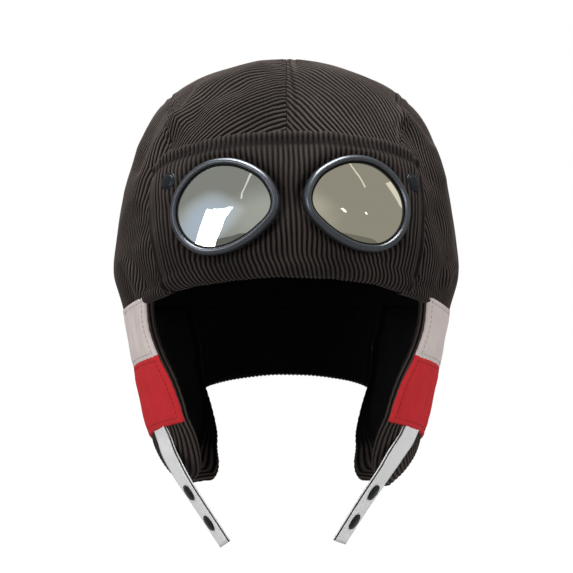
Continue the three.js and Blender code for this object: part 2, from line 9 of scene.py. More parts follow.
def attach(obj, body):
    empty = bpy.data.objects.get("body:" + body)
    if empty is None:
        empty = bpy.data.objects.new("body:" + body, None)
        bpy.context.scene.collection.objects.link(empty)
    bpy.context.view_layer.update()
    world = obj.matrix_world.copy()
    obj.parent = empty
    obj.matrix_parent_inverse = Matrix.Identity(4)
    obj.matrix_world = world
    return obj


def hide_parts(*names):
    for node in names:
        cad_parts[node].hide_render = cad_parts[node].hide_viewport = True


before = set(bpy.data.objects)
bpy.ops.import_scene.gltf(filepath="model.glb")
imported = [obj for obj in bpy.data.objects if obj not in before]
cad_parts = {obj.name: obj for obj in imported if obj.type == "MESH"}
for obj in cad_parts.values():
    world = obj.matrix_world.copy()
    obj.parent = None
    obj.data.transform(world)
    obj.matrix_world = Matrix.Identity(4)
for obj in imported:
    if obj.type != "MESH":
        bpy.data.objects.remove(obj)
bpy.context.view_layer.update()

# The studio. A level camera a little over a metre in front of the hat looks straight at it, over a white
# floor that lies well below the straps. Soft lights stand in front, above and at both sides.
CAMERA_PLACE = (0, -1.3, -0.0084)
CAMERA_LENS = 145.8
scene = bpy.context.scene
scene.view_settings.view_transform = "Standard"
camera = bpy.data.objects.new("camera", bpy.data.cameras.new("camera"))
scene.collection.objects.link(camera)
camera.location = CAMERA_PLACE
camera.rotation_euler = (math.radians(90), 0, 0)
camera.data.lens = CAMERA_LENS
scene.camera = camera


def node(tree, kind, inputs=(), **settings):
    """Adds a shader node, sets it up, and joins or fills its inputs by name or number."""
    made = tree.nodes.new(kind)
    for key, value in settings.items():
        setattr(made, key, value)
    for key, value in dict(inputs).items():
        if isinstance(value, bpy.types.NodeSocket):
            tree.links.new(value, made.inputs[key])
        else:
            made.inputs[key].default_value = value
    return made


def maths(tree, operation, first, second=0.0):
    return node(tree, "ShaderNodeMath", {0: first, 1: second}, operation=operation).outputs[0]


def ranged(tree, value, low=0.0, high=1.0, start=0.0, end=1.0, **settings):
    """Takes a value from the range low to high over to the range start to end."""
    inputs = {"Value": value, "From Min": low, "From Max": high, "To Min": start, "To Max": end}
    return node(tree, "ShaderNodeMapRange", inputs, **settings).outputs["Result"]


def new_material(name, **sockets):
    """A material with its own shader. The values given here go on the shader's own sockets."""
    material = bpy.data.materials.new(name)
    material.use_nodes = True
    shader = material.node_tree.nodes["Principled BSDF"]
    for label, value in sockets.items():
        shader.inputs[label.replace("_", " ")].default_value = value
    return material, material.node_tree, shader


world = bpy.data.worlds.new("studio")
world.use_nodes = True
scene.world = world
sky = world.node_tree
rays = node(sky, "ShaderNodeLightPath").outputs
sight = node(sky, "ShaderNodeTexCoord").outputs["Generated"]


def direction(azimuth, height):
    """The way to look for an azimuth from the front and an angle up, in degrees."""
    turn, rise = math.radians(azimuth), math.radians(height)
    return Vector((math.sin(turn) * math.cos(rise), -math.cos(turn) * math.cos(rise), math.sin(rise)))


def soft_glow(azimuth, height, reach, amount):
    """A soft patch of brightness on the studio's walls, in a direction and out to a reach in degrees."""
    way = direction(azimuth, height)
    aligned = node(sky, "ShaderNodeVectorMath", {0: sight, 1: way}, operation="DOT_PRODUCT")
    return ranged(sky, aligned.outputs["Value"], low=math.cos(math.radians(reach)), end=amount,
                  interpolation_type="SMOOTHSTEP")


# How bright the studio's walls look to cloth, in mirrors and to the camera
WALL_ON_CLOTH, WALL_IN_MIRRORS, WALL_SEEN = 0.13, 0.28, 1.0
WINDOW_TINT = (0.3, 0.5, 1, 1)
wall_glow = soft_glow(-4, 14, 36, 0.17)
window_glow = soft_glow(-46, 12, 26, 0.5)
glows = maths(sky, "ADD", maths(sky, "ADD", wall_glow, window_glow), WALL_IN_MIRRORS)
mirrored = ranged(sky, rays["Is Glossy Ray"], start=WALL_ON_CLOTH, end=glows)
strength = ranged(sky, rays["Is Camera Ray"], start=mirrored, end=WALL_SEEN)
blue = maths(sky, "MULTIPLY", window_glow, rays["Is Glossy Ray"])
tint = node(sky, "ShaderNodeMix", {"Factor": blue, "A": (1, 1, 1, 1), "B": WINDOW_TINT}, data_type="RGBA")
sky.links.new(tint.outputs["Result"], sky.nodes["Background"].inputs["Color"])
sky.links.new(strength, sky.nodes["Background"].inputs["Strength"])


def soft_light(name, place, aim, width, height, watts):
    """A rectangular studio light that faces the point aim."""
    data = bpy.data.lights.new(name, "AREA")
    data.shape = "RECTANGLE"
    data.size, data.size_y = width, height
    data.energy = watts
    light = bpy.data.objects.new(name, data)
    scene.collection.objects.link(light)
    light.location = place
    light.rotation_euler = (Vector(aim) - Vector(place)).to_track_quat("-Z", "Y").to_euler()
    return light


HAT_MIDDLE = (0, -0.05, 0.02)
soft_light("top_light", (-0.1, -0.08, 1.6), HAT_MIDDLE, 1.0, 0.9, 48)
for light in (soft_light("key_light", (-0.7, -1.2, 1.05), HAT_MIDDLE, 0.7, 0.7, 8),
              soft_light("right_light", (1.35, -0.75, 0.25), HAT_MIDDLE, 1.0, 1.2, 14),
              soft_light("left_light", (-1.35, -0.6, 0.1), HAT_MIDDLE, 0.8, 1.0, 6.5)):
    light.visible_glossy = False

LENS_MIDDLE = (0.033, -0.11, 0.033)
LIGHT_DISTANCE = 1.7


def seen_light(name, azimuth, height, width, tall, glow, lean=0):
    """A bright panel in a direction from the nearer lens, its brightness given for each square metre."""
    middle = Vector(LENS_MIDDLE) * Vector((math.copysign(1, azimuth), 1, 1))
    place = middle + direction(azimuth, height) * LIGHT_DISTANCE
    light = soft_light(name, place, middle, width, tall, glow * math.pi * width * tall)
    light.rotation_euler.rotate_axis("Z", math.radians(lean))
    return light


# The window that the left lens mirrors also lights the hat. The other panels only show in the lenses.
seen_light("window_wide", -39.4, 5, 0.42, 1.0, 4.2, -5)
seen_light("window_narrow", -49.4, 5, 0.12, 1.0, 4.2, -5)
for light in (seen_light("left_line", -27, 44, 0.03, 0.75, 0.55),
              seen_light("right_line", 56, 46, 0.03, 0.6, 0.5),
              seen_light("right_wall", 84, 16, 0.4, 1.2, 0.42),
              seen_light("lamp_near", 32, 14, 0.045, 0.045, 3.0),
              seen_light("lamp_far", 48, 16.5, 0.045, 0.045, 3.0)):
    light.visible_diffuse = False

FLOOR_HEIGHT = -0.42
FLOOR_SIZE = 12
# How bright the floor looks to cloth, in mirrors and to the camera
FLOOR_ON_CLOTH, FLOOR_IN_MIRRORS, FLOOR_SEEN = 0.32, 0.14, 1.0
paint, tree, shader = new_material("white_floor", Roughness=0.9, Specular_IOR_Level=0,
                                   Base_Color=(0.1, 0.1, 0.1, 1), Emission_Color=(1, 1, 1, 1))
rays = node(tree, "ShaderNodeLightPath").outputs
mirrored = ranged(tree, rays["Is Glossy Ray"], start=FLOOR_ON_CLOTH, end=FLOOR_IN_MIRRORS)
glow = ranged(tree, rays["Is Camera Ray"], start=mirrored, end=FLOOR_SEEN)
tree.links.new(glow, shader.inputs["Emission Strength"])
ground = bmesh.new()
bmesh.ops.create_grid(ground, x_segments=4, y_segments=4, size=FLOOR_SIZE / 2)
bmesh.ops.translate(ground, verts=ground.verts, vec=(0, 0, FLOOR_HEIGHT))
floor = bpy.data.objects.new("floor", bpy.data.meshes.new("floor"))
ground.to_mesh(floor.data)
ground.free()
floor.data.materials.append(paint)
scene.collection.objects.link(floor)

# The lining of the crown: one dome of matt black cloth that shows inside the open hat.
# It is cut smaller than the crown, lies just inside it and is sewn in at the crown's lower edge.
SQUARENESS = 2.2
HEM_BEND = 2.6
SEAM_GAP = 0.3
CROWN_WALL = 2.6
# front, its height, side, its height, back, its height, in mm, from the crown's top to its lower edge
CROWN_ROWS = np.array([
    [0, 118.6, 0, 118.6, 0, 118.6],
    [18.2, 117.2, 19.4, 116.2, 20, 117.6],
    [36.2, 113.2, 38.4, 110.6, 39.8, 113.4],
    [53.6, 107.4, 56.8, 102.6, 58.6, 106.4],
    [69.3, 99.4, 71.3, 90.4, 75.4, 96],
    [82.5, 89.5, 81.1, 74, 89.4, 83.2],
    [93, 74.6, 87.6, 55.2, 100, 66.4],
    [101, 58, 91.7, 36, 107.2, 47.6],
    [106.8, 40.5, 94.8, 16.4, 111, 27.9],
    [110.6, 22.2, 95.8, -3, 111.3, 5],
    [112, 0, 90, -22, 107, -20],
])
# Past the top, the reaches go on with the other sign and the heights with the same one
CROWN_MIRROR = np.array([-1, 1, -1, 1, -1, 1])


def smooth_rows(rows, share, mirror=None):
    """Smooth values of a table's columns, at shares of the way through its rows."""
    first = 2 * rows[0] - rows[1] if mirror is None else mirror * rows[1]
    padded = np.vstack([first, rows, 2 * rows[-1] - rows[-2]])
    place = ramp(share) * (len(rows) - 1)
    i = np.minimum(place.astype(int), len(rows) - 2)
    f = (place - i)[..., None]
    before, here, after, last = padded[i], padded[i + 1], padded[i + 2], padded[i + 3]
    f2, f3 = f * f, f * f * f
    ends = here * (2 * f3 - 3 * f2 + 1) + after * (3 * f2 - 2 * f3)
    return ends + (after - before) / 2 * (f3 - 2 * f2 + f) + (last - here) / 2 * (f3 - f2)


def outline_reach(azimuth, side, depth):
    """Distance from the middle to the head-shaped outline, at an azimuth from the front."""
    across = np.abs(np.sin(azimuth)) / side
    along = np.abs(np.cos(azimuth)) / depth
    return (across ** SQUARENESS + along ** SQUARENESS) ** (-1 / SQUARENESS)


def crown_face(azimuth, share):
    """Points of the crown's outer face, in mm."""
    azimuth, share = np.broadcast_arrays(azimuth, share)
    values = smooth_rows(CROWN_ROWS, share, CROWN_MIRROR)
    front, front_z, side, side_z, back, back_z = np.moveaxis(values, -1, 0)
    ahead = np.cos(azimuth) > 0
    side = np.maximum(side, 1e-6)
    reach = outline_reach(azimuth, side, np.maximum(np.where(ahead, front, back), 1e-6))
    x = reach * np.sin(azimuth)
    edge = np.minimum(np.abs(x) / side, 1) ** HEM_BEND
    end_z = np.where(ahead, front_z, back_z)
    return np.stack([x, -reach * np.cos(azimuth), end_z + (side_z - end_z) * edge], -1)


def unit(vectors):
    return vectors / np.maximum(np.linalg.norm(vectors, axis=-1, keepdims=True), 1e-9)


def face_normals(face, a, b, step=1e-3):
    """Outward normals of a face that is given as a function of two values."""
    along_a = face(a + step, b) - face(a - step, b)
    along_b = face(a, b + step) - face(a, b - step)
    normals = unit(np.cross(along_a, along_b))
    points = face(a, b)
    inward = (normals[..., :2] * points[..., :2]).sum(-1, keepdims=True) < 0
    return np.where(inward, -normals, normals)


def cloth_grid(columns, rows):
    """A flat grid of cloth, with its lines at these places in mm."""
    grid = bmesh.new()
    bmesh.ops.create_grid(grid, x_segments=len(columns) - 1, y_segments=len(rows) - 1, size=0.5)
    for vertex in grid.verts:
        across = round((vertex.co.x + 0.5) * (len(columns) - 1))
        along = round((vertex.co.y + 0.5) * (len(rows) - 1))
        vertex.co = (columns[across], rows[along], 0)
    return grid


def new_piece(name, mesh):
    mesh.shade_smooth()
    piece = bpy.data.objects.new(name, mesh)
    scene.collection.objects.link(piece)
    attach(piece, "root")
    return piece


def dress(piece, material, node_name):
    """Gives a piece its material, and puts it in the place of the hat's plain solid."""
    piece.data.materials.append(material)
    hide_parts(node_name)


def lay_cloth(name, grid, place, wall, pattern=None):
    """Turns flat cloth into a piece of the hat, with its wall inwards. place gives points and normals in mm
    for flat places, and pattern gives the places on the cloth's own wales or threads."""
    mesh = bpy.data.meshes.new(name)
    grid.to_mesh(mesh)
    grid.free()
    flat = np.empty(len(mesh.vertices) * 3)
    mesh.vertices.foreach_get("co", flat)
    flat = flat.reshape(-1, 3)[:, :2]
    corners = np.empty(len(mesh.loops), int)
    mesh.loops.foreach_get("vertex_index", corners)
    threads = flat if pattern is None else pattern(flat)
    mesh.uv_layers.new(name="cloth").data.foreach_set("uv", threads[corners].ravel())
    points, normals = place(flat)
    mesh.vertices.foreach_set("co", (points / 1000).ravel())
    mesh.update()
    made = np.empty(len(mesh.vertices) * 3)
    mesh.vertex_normals.foreach_get("vector", made)
    if (made.reshape(-1, 3) * normals).sum() < 0:
        mesh.flip_normals()
    sewn = bmesh.new()
    sewn.from_mesh(mesh)
    bmesh.ops.remove_doubles(sewn, verts=sewn.verts, dist=2e-6)
    bmesh.ops.dissolve_degenerate(sewn, edges=sewn.edges, dist=1e-6)
    sewn.to_mesh(mesh)
    sewn.free()
    piece = new_piece(name, mesh)
    solidify = piece.modifiers.new("wall", "SOLIDIFY")
    solidify.thickness = wall / 1000
    solidify.offset = -1
    return piece


def new_group(name, inputs, outputs):
    """A shader node group, with the sockets of its inputs and outputs."""
    tree = bpy.data.node_groups.new(name, "ShaderNodeTree")
    for label, kind in inputs.items():
        tree.interface.new_socket(label, in_out="INPUT", socket_type=kind)
    for label, kind in outputs.items():
        tree.interface.new_socket(label, in_out="OUTPUT", socket_type=kind)
    return tree, tree.nodes.new("NodeGroupInput").outputs, tree.nodes.new("NodeGroupOutput").inputs


# Plain weave: threads cross over and under each other, with a slight unevenness from thread to thread
weave, given, put = new_group(
    "plain_weave",
    {"Thread": "NodeSocketFloat", "Dark": "NodeSocketColor", "Light": "NodeSocketColor"},
    {"Color": "NodeSocketColor", "Height": "NodeSocketFloat"},
)
place = node(weave, "ShaderNodeSeparateXYZ", {0: node(weave, "ShaderNodeUVMap", uv_map="cloth").outputs[0]})
turns = maths(weave, "DIVIDE", math.pi, given["Thread"])
over = maths(weave, "SINE", maths(weave, "MULTIPLY", place.outputs["X"], turns))
under = maths(weave, "SINE", maths(weave, "MULTIPLY", place.outputs["Y"], turns))
weave.links.new(maths(weave, "MULTIPLY", over, under), put["Height"])
spots = node(weave, "ShaderNodeTexNoise", {"Vector": node(weave, "ShaderNodeTexCoord").outputs["Object"],
                                           "Scale": 60.0, "Detail": 4.0, "Roughness": 0.6})
uneven = node(weave, "ShaderNodeMix", {"Factor": spots.outputs[0], "A": given["Dark"], "B": given["Light"]},
              data_type="RGBA")
weave.links.new(uneven.outputs["Result"], put["Color"])


def add_bump(tree, shader, height, distance, strength):
    bump = node(tree, "ShaderNodeBump", {"Height": height, "Distance": distance, "Strength": strength})
    tree.links.new(bump.outputs["Normal"], shader.inputs["Normal"])


def woven_cloth(name, dark, light, thread, depth, **sockets):
    """A plain woven material between two colours, with threads so many mm apart and a bump in metres."""
    material, tree, shader = new_material(name, **sockets)
    cloth = node(tree, "ShaderNodeGroup", node_tree=weave)
    for label, value in (("Thread", thread), ("Dark", (*dark, 1)), ("Light", (*light, 1))):
        cloth.inputs[label].default_value = value
    tree.links.new(cloth.outputs["Color"], shader.inputs["Base Color"])
    add_bump(tree, shader, cloth.outputs["Height"], depth, 0.6)
    return material


black_lining = woven_cloth("black_lining", (0.004, 0.004, 0.004), (0.009, 0.009, 0.009), 0.6, 0.0001,
                           Roughness=0.95, Specular_IOR_Level=0.2)
LINING_DEPTH = CROWN_WALL + SEAM_GAP
LINING_WALL = 1.2
# The hem below the crown's edge: how far it hangs down and stands out, and where it starts behind the brow
LINING_HEM, LINING_HEM_OUT, LINING_HEM_Y = 7.0, 1.1, -66


def ramp(value):
    return np.clip(value, 0, 1)


def lining_place(flat):
    azimuth, share = flat[:, 0], np.clip(flat[:, 1], 1e-4, 0.999)
    normals = face_normals(crown_face, azimuth, share)
    points = crown_face(azimuth, share) - LINING_DEPTH * normals
    # Behind the goggle panel its hem hangs a little way down inside the flaps
    hem = ramp(flat[:, 1] - 1) * 10 * ramp((points[:, 1] - LINING_HEM_Y) / 4)
    hanging = unit(normals * [1, 1, 0]) * LINING_HEM_OUT - [0, 0, LINING_HEM]
    return points + hanging * hem[:, None], normals


rings = np.append(np.linspace(0, 1, 41), [1.05, 1.1])
lining = lay_cloth("crown_lining_cloth", cloth_grid(np.linspace(0, 2 * math.pi, 129), rings), lining_place,
                   wall=LINING_WALL, pattern=lambda flat: flat * [100, 160])
dress(lining, black_lining, "crown_lining")

# The crown's two top panels: dark brown wide-wale corduroy, sewn to each other along the middle of the head.
# Each was cut at its own slant, so the wales meet the middle seam at different angles.
SIDES = {"left": -1, "right": 1}
# Distance between wales, between the mesh's lines across and along them, and how high they stand
WALE = 2.6
WALE_STEP = WALE / 6
WALE_RUN = 3.0
WALE_HEIGHT = 0.85
# No fold or groove goes deeper than this, so that the lining stays hidden
DEEPEST = -2.6
# How far out the seam between top and side panels lies at the middle and at the ends, and where they are
SIDE_SEAM = (64, 57, 118)
CROWN_CENTRE_Z = -5
TOP_SLANTS = {"left": -14, "right": -48}
# How far the wales swing towards the front by the time they reach the side seam
TOP_SWINGS = {"left": 15, "right": 2}


def seam_x(y):
    middle, ends, reach = SIDE_SEAM
    return middle - (middle - ends) * (y / reach) ** 2


def halved(low, high, is_low, steps=26):
    """The place between low and high at which is_low changes from true to false."""
    for _ in range(steps):
        middle = (low + high) / 2
        below = is_low(middle)
        low, high = np.where(below, middle, low), np.where(below, high, middle)
    return (low + high) / 2


def inside_crown(points):
    azimuth = np.arctan2(points[..., 0], -points[..., 1])
    level = halved(np.zeros(azimuth.shape), np.ones(azimuth.shape),
                   lambda share: crown_face(azimuth, share)[..., 2] > points[..., 2], 20)
    face = crown_face(azimuth, level)
    return np.hypot(points[..., 0], points[..., 1]) < np.hypot(face[..., 0], face[..., 1])


def row_lengths(points):
    """Length along each row of a grid of points, up to each of its columns."""
    gaps = np.linalg.norm(np.diff(points, axis=1), axis=-1)
    return np.concatenate([np.zeros((len(points), 1)), np.cumsum(gaps, axis=1)], axis=1)


def even_columns(points, count):
    """Moves the columns of a grid of points to equal distances along each row."""
    reach = row_lengths(points)
    share = np.linspace(0, 1, count)
    return np.array([[np.interp(share * far[-1], far, row[:, axis]) for axis in range(3)]
                     for row, far in zip(points, reach)]).transpose(0, 2, 1)


def cage_normals(points):
    across = np.gradient(points, axis=1)
    along = np.gradient(points, axis=0)
    normals = unit(np.cross(across, along))
    return normals * np.sign((normals[..., :2] * points[..., :2]).sum())


def mean_size(points):
    """Mean width and length of a grid of points."""
    across = np.linalg.norm(np.diff(points, axis=1), axis=-1).sum(1).mean()
    along = np.linalg.norm(np.diff(points, axis=0), axis=-1).sum(0).mean()
    return across, along


def on_cage(points, normals, width, length):
    """A smooth surface through a grid of points, as a function of flat places in mm."""
    cage = np.concatenate([points, normals], -1)
    cage = np.concatenate([2 * cage[:1] - cage[1:2], cage, 2 * cage[-1:] - cage[-2:-1]])
    cage = np.concatenate([2 * cage[:, :1] - cage[:, 1:2], cage, 2 * cage[:, -1:] - cage[:, -2:-1]], 1)

    def weights(place, count):
        place = place * (count - 1)
        i = np.clip(np.floor(place), 0, count - 2).astype(int)
        f = np.clip(place - i, -0.5, 1.5)
        f2, f3 = f * f, f * f * f
        return i, [(2 * f2 - f - f3) / 2, (3 * f3 - 5 * f2 + 2) / 2, (f + 4 * f2 - 3 * f3) / 2, (f3 - f2) / 2]

    def at(u, v):
        i, across = weights(u / width, points.shape[1])
        j, along = weights(v / length, points.shape[0])
        total = sum((across[a] * along[b])[:, None] * cage[j + b, i + a] for a in range(4) for b in range(4))
        return total[:, :3], unit(total[:, 3:])

    return at


def top_cage(sign, rows=49, columns=25):
    """Grid of points on a top panel: across from the middle seam, and along from the front edge back."""
    t = np.linspace(SEAM_GAP / 2 / SIDE_SEAM[0], 1, 33)

    def hem_angle(start, end):
        azimuth = halved(np.full(t.shape, start), np.full(t.shape, end), lambda a: (
            crown_face(a, 1.0)[..., 0] < t * seam_x(crown_face(a, 1.0)[..., 1])))
        hem = crown_face(azimuth, np.ones(t.shape))
        return np.arctan2(hem[..., 2] - CROWN_CENTRE_Z, -hem[..., 1]) % (2 * math.pi)

    front = (hem_angle(0.0, math.pi / 2) + math.pi) % (2 * math.pi) - math.pi
    back = hem_angle(math.pi, math.pi / 2)
    angle = front + (back - front) * np.linspace(0, 1, rows)[:, None]

    def ray(reach):
        y = -reach * np.cos(angle)
        return np.stack([t * seam_x(y), y, CROWN_CENTRE_Z + reach * np.sin(angle)], -1)

    nearest, farthest = np.full(angle.shape, 20.0), np.full(angle.shape, 170.0)
    reach = halved(nearest, farthest, lambda r: inside_crown(ray(r)), 22)
    return even_columns(ray(reach), columns) * [sign, 1, 1]


def wale_face(across):
    """Height of the corduroy's rounded wales, from -1 in the valleys to 0 at the tops."""
    return np.abs(np.sin(np.pi * across / WALE)) ** 0.75 - 1


def ripple(a, b, seed):
    """Slow, uneven waves from -1 to 1, the same on every run."""
    phase = seed * 1.7
    return (np.sin(a * 0.061 + b * 0.043 + phase) + np.sin(a * 0.113 - b * 0.071 + 2.3 * phase)
            + np.sin(-a * 0.037 + b * 0.127 + 3.1 * phase) + 0.6 * np.sin(a * 0.23 + b * 0.19 + phase)) / 3.6


def smooth(share):
    return share * share * (3 - 2 * share)


def bell(distance, width):
    return np.exp(-((distance / width) ** 2))


def edge_distance(u, v, width, length):
    """How far places on a cloth lie from its nearest edge."""
    return np.minimum(np.minimum(u, width - u), np.minimum(v, length - v))


def near_edge(distance, reach):
    """1 at an edge, falling smoothly to 0 at the given reach from it."""
    return ramp(1 - distance / reach) ** 2


def pinched(distance):
    """The dip of cloth at an edge where it is sewn to its neighbour."""
    return -0.4 * near_edge(distance, 1.6)


def stitched(distance, inset, depth):
    """The groove that a line of stitches pulls into cloth, at an inset from its edge."""
    return -depth * bell(distance - inset, 0.8)


def wander(flat, edge, seed, reach=1.3):
    """Flat places moved a little sideways, so that the wales wave slowly. They stay put at the edges."""
    free = ramp(edge / 12) * reach
    sideways = ripple(flat[:, 0] * 1.3, flat[:, 1] * 1.3, seed)
    lengthways = ripple(flat[:, 0] * 1.1, flat[:, 1] * 1.1, seed + 5)
    return flat + np.stack([sideways * free, lengthways * free], -1)


# Folds on the crown, as seen from the front: height and half width in mm, and the line that each follows
CROWN_FOLDS = [
    (2.6, 4.6, [(-13.8, 110.4), (-26.2, 103.7), (-38.6, 99.9), (-48.3, 96.2), (-54.3, 86.4), (-57.5, 80.5)]),
    (2.8, 4.4, [(-57.5, 80.5), (-62.4, 75.6), (-69.4, 66.4), (-74.3, 56.7), (-77, 47), (-79.7, 36.2)]),
    (-2.6, 3.6, [(-52.5, 96.5), (-56.4, 91.8), (-58.8, 87)]),
    (-1.9, 4.5, [(-25.1, 97.8), (-38.6, 94), (-45.1, 88.2), (-48.9, 80.6)]),
    (-2.6, 3.8, [(-66.7, 86.8), (-72.1, 76.1), (-76.9, 65.3), (-80.1, 55.6)]),
    (-1.6, 3.6, [(-62.4, 68.7), (-67.3, 59.9), (-71, 49.1), (-72.1, 35.6)]),
    (1.0, 3.6, [(-80.2, 68), (-84, 54.5), (-86.1, 43.7)]),
    (-1.2, 4.4, [(-82.4, 32.2), (-83.4, 16.7)]),
    (1.6, 2.2, [(-88.7, 5.8), (-83.9, -2.3), (-79, -10.3)]),
    (-1.5, 2.2, [(-90.8, 0.6), (-86, -8.1), (-83.4, -14.1)]),
    (-1.3, 2.4, [(-83.4, 6.8), (-78.6, -1.7), (-74.8, -7.7)]),
    (1.6, 4.4, [(17.3, 107.8), (28.1, 103.6), (40.2, 100), (51, 93.5), (58, 87.5), (61.8, 82.7)]),
    (2.0, 4.2, [(61.8, 82.7), (69.9, 76.7), (76.4, 68.1), (80.7, 58.9), (83.4, 50.3)]),
    (-1.8, 2.8, [(60.2, 93.4), (67.2, 87.5), (72.6, 81), (78.5, 71.3)]),
    (-1.5, 3.6, [(63.5, 77.3), (68.4, 69.7), (73.3, 60), (76.5, 49.2)]),
    (0.9, 3.6, [(83.4, 43.7), (86.6, 30.2), (88.3, 19.4)]),
    (-1.3, 3.6, [(80.7, 32.2), (83.4, 18.7), (85.1, 9)]),
    (1.7, 2.0, [(92.5, 3.7), (88.8, -1.1), (86.6, -7.5)]),
    (-1.7, 2.2, [(88.2, 6.8), (84.5, 0.4), (82.4, -7.6)]),
    (-1.9, 1.7, [(-70.6, 54), (-70.2, 28), (-66.6, 5.5), (-62.9, -6.6)]),
    (-1.9, 1.7, [(70.2, 58.6), (73.9, 30), (70.7, 7.1), (68.5, -1.8)]),
    (0.8, 5.0, [(-6, 112), (-3, 100), (-4, 88)]),
    (-0.7, 4.0, [(14, 100), (20, 90), (34, 80)]),
    (0.8, 4.5, [(-14, 82), (-30, 76), (-44, 66)]),
]


def crown_folds(points):
    """How far the folds lift each point off the crown, on its front half."""
    height = np.zeros(len(points))
    spot = points[:, [0, 2]]
    for lift, width, line in CROWN_FOLDS:
        far = np.full(len(points), 1e3)
        for start, end in zip(np.array(line, float)[:-1], np.array(line, float)[1:]):
            way = end - start
            share = ramp(((spot - start) @ way) / (way @ way))
            far = np.minimum(far, np.linalg.norm(spot - start - share[:, None] * way, axis=1))
        height += lift * bell(far, width)
    return (height - 0.15) * ramp(0.2 - points[:, 1] / 24)


# Corduroy: pile on the wales and bare ground between them, with worn and fuller patches in the pile.
# The ground's near-black colour is partly the bare cloth and partly painted shade in the valleys.
cord, given, put = new_group(
    "corduroy_pile",
    {"Ground and shade": "NodeSocketColor", "Pile": "NodeSocketColor", "Worn": "NodeSocketColor"},
    {"Color": "NodeSocketColor", "Height": "NodeSocketFloat"},
)
place = node(cord, "ShaderNodeSeparateXYZ", {0: node(cord, "ShaderNodeUVMap", uv_map="cloth").outputs[0]})
across = maths(cord, "DIVIDE", place.outputs["X"], WALE)
ridge = maths(cord, "PINGPONG", across, 0.5)
pile = ranged(cord, ridge, 0.13, 0.4, interpolation_type="SMOOTHSTEP")
strand = node(cord, "ShaderNodeCombineXYZ", {"X": maths(cord, "MULTIPLY", across, 3.0),
                                             "Y": maths(cord, "MULTIPLY", place.outputs["Y"], 1.6)})
tufts = node(cord, "ShaderNodeTexNoise", {"Vector": strand.outputs[0], "Scale": 1.0, "Detail": 3.0,
                                          "Roughness": 0.65}).outputs[0]
spots = node(cord, "ShaderNodeTexNoise", {"Vector": node(cord, "ShaderNodeTexCoord").outputs["Object"],
                                          "Scale": 26.0, "Detail": 3.0}).outputs[0]
wear = ranged(cord, maths(cord, "ADD", maths(cord, "MULTIPLY", tufts, 0.7), spots), 0.62, 1.1)
coat = node(cord, "ShaderNodeMix", {"Factor": wear, "A": given["Pile"], "B": given["Worn"]}, data_type="RGBA")
# Painted shade: the painted_shade attribute turns the pile towards the dark ground colour where shade falls
painted_shade = node(cord, "ShaderNodeAttribute", attribute_name="painted_shade").outputs["Fac"]
shown = maths(cord, "MULTIPLY", pile, maths(cord, "SUBTRACT", 1.0, painted_shade))
both = node(cord, "ShaderNodeMix", {"Factor": shown, "A": given["Ground and shade"], "B": coat.outputs["Result"]},
            data_type="RGBA")
cord.links.new(both.outputs["Result"], put["Color"])
cord.links.new(maths(cord, "MULTIPLY", tufts, pile), put["Height"])

# The ground colour is the bare cloth between the wales, darkened further with painted shade for the valleys
GROUND_AND_SHADE_BROWN = (0.0035, 0.003, 0.0028, 1)
PILE_BROWN = (0.032, 0.0254, 0.0227, 1)
WORN_BROWN = (0.078, 0.0625, 0.0565, 1)
corduroy, tree, shader = new_material("brown_corduroy", Roughness=0.95, Specular_IOR_Level=0.08,
                                      Sheen_Weight=0.12, Sheen_Roughness=0.5,
                                      Sheen_Tint=(0.55, 0.47, 0.43, 1))
cloth = node(tree, "ShaderNodeGroup", node_tree=cord)
for label, value in (("Ground and shade", GROUND_AND_SHADE_BROWN), ("Pile", PILE_BROWN), ("Worn", WORN_BROWN)):
    cloth.inputs[label].default_value = value
tree.links.new(cloth.outputs["Color"], shader.inputs["Base Color"])
add_bump(tree, shader, cloth.outputs["Height"], 0.0006, 0.5)


def paint_shade(piece, amount):
    """Keeps how much painted shade hides the pile, from 0 to 1, at places on the flat cloth."""
    laid = np.empty(len(piece.data.loops) * 2)
    corners = np.empty(len(piece.data.loops), int)
    piece.data.uv_layers["cloth"].data.foreach_get("uv", laid)
    piece.data.loops.foreach_get("vertex_index", corners)
    painted_shade = np.zeros(len(piece.data.vertices))
    painted_shade[corners] = amount(laid.reshape(-1, 2))
    piece.data.attributes.new("painted_shade", "FLOAT", "POINT").data.foreach_set("value", painted_shade)


def slanted_cloth(width, length, slant):
    """A rectangle of corduroy, with its wales turned by a slant in degrees, and the way back to its wales."""
    turn = math.radians(slant)
    corners = np.array([[0, 0], [width, 0], [0, length], [width, length]])
    # The wales run along the direction that leans from the front-to-back line by the slant
    wale_way = np.array([math.cos(turn), math.sin(turn)])
    cross_way = np.array([-math.sin(turn), math.cos(turn)])
    spread, run = corners @ cross_way, corners @ wale_way
    first, last = math.floor(spread.min() / WALE_STEP), math.ceil(spread.max() / WALE_STEP)
    start, stop = math.floor(run.min() / WALE_RUN), math.ceil(run.max() / WALE_RUN)
    grid = cloth_grid(np.arange(first, last + 1) * WALE_STEP, np.arange(start, stop + 1) * WALE_RUN)
    turned = Matrix(((cross_way[0], wale_way[0], 0), (cross_way[1], wale_way[1], 0), (0, 0, 1)))
    bmesh.ops.transform(grid, matrix=turned.to_4x4(), verts=grid.verts)
    for point, outward in [((0, 0, 0), (-1, 0, 0)), ((width, 0, 0), (1, 0, 0)),
                           ((0, 0, 0), (0, -1, 0)), ((0, length, 0), (0, 1, 0))]:
        bmesh.ops.bisect_plane(grid, geom=[*grid.verts, *grid.edges, *grid.faces], dist=1e-4,
                               plane_co=point, plane_no=outward, clear_outer=True)
    return grid, lambda flat: np.stack([flat @ cross_way, flat @ wale_way], -1)


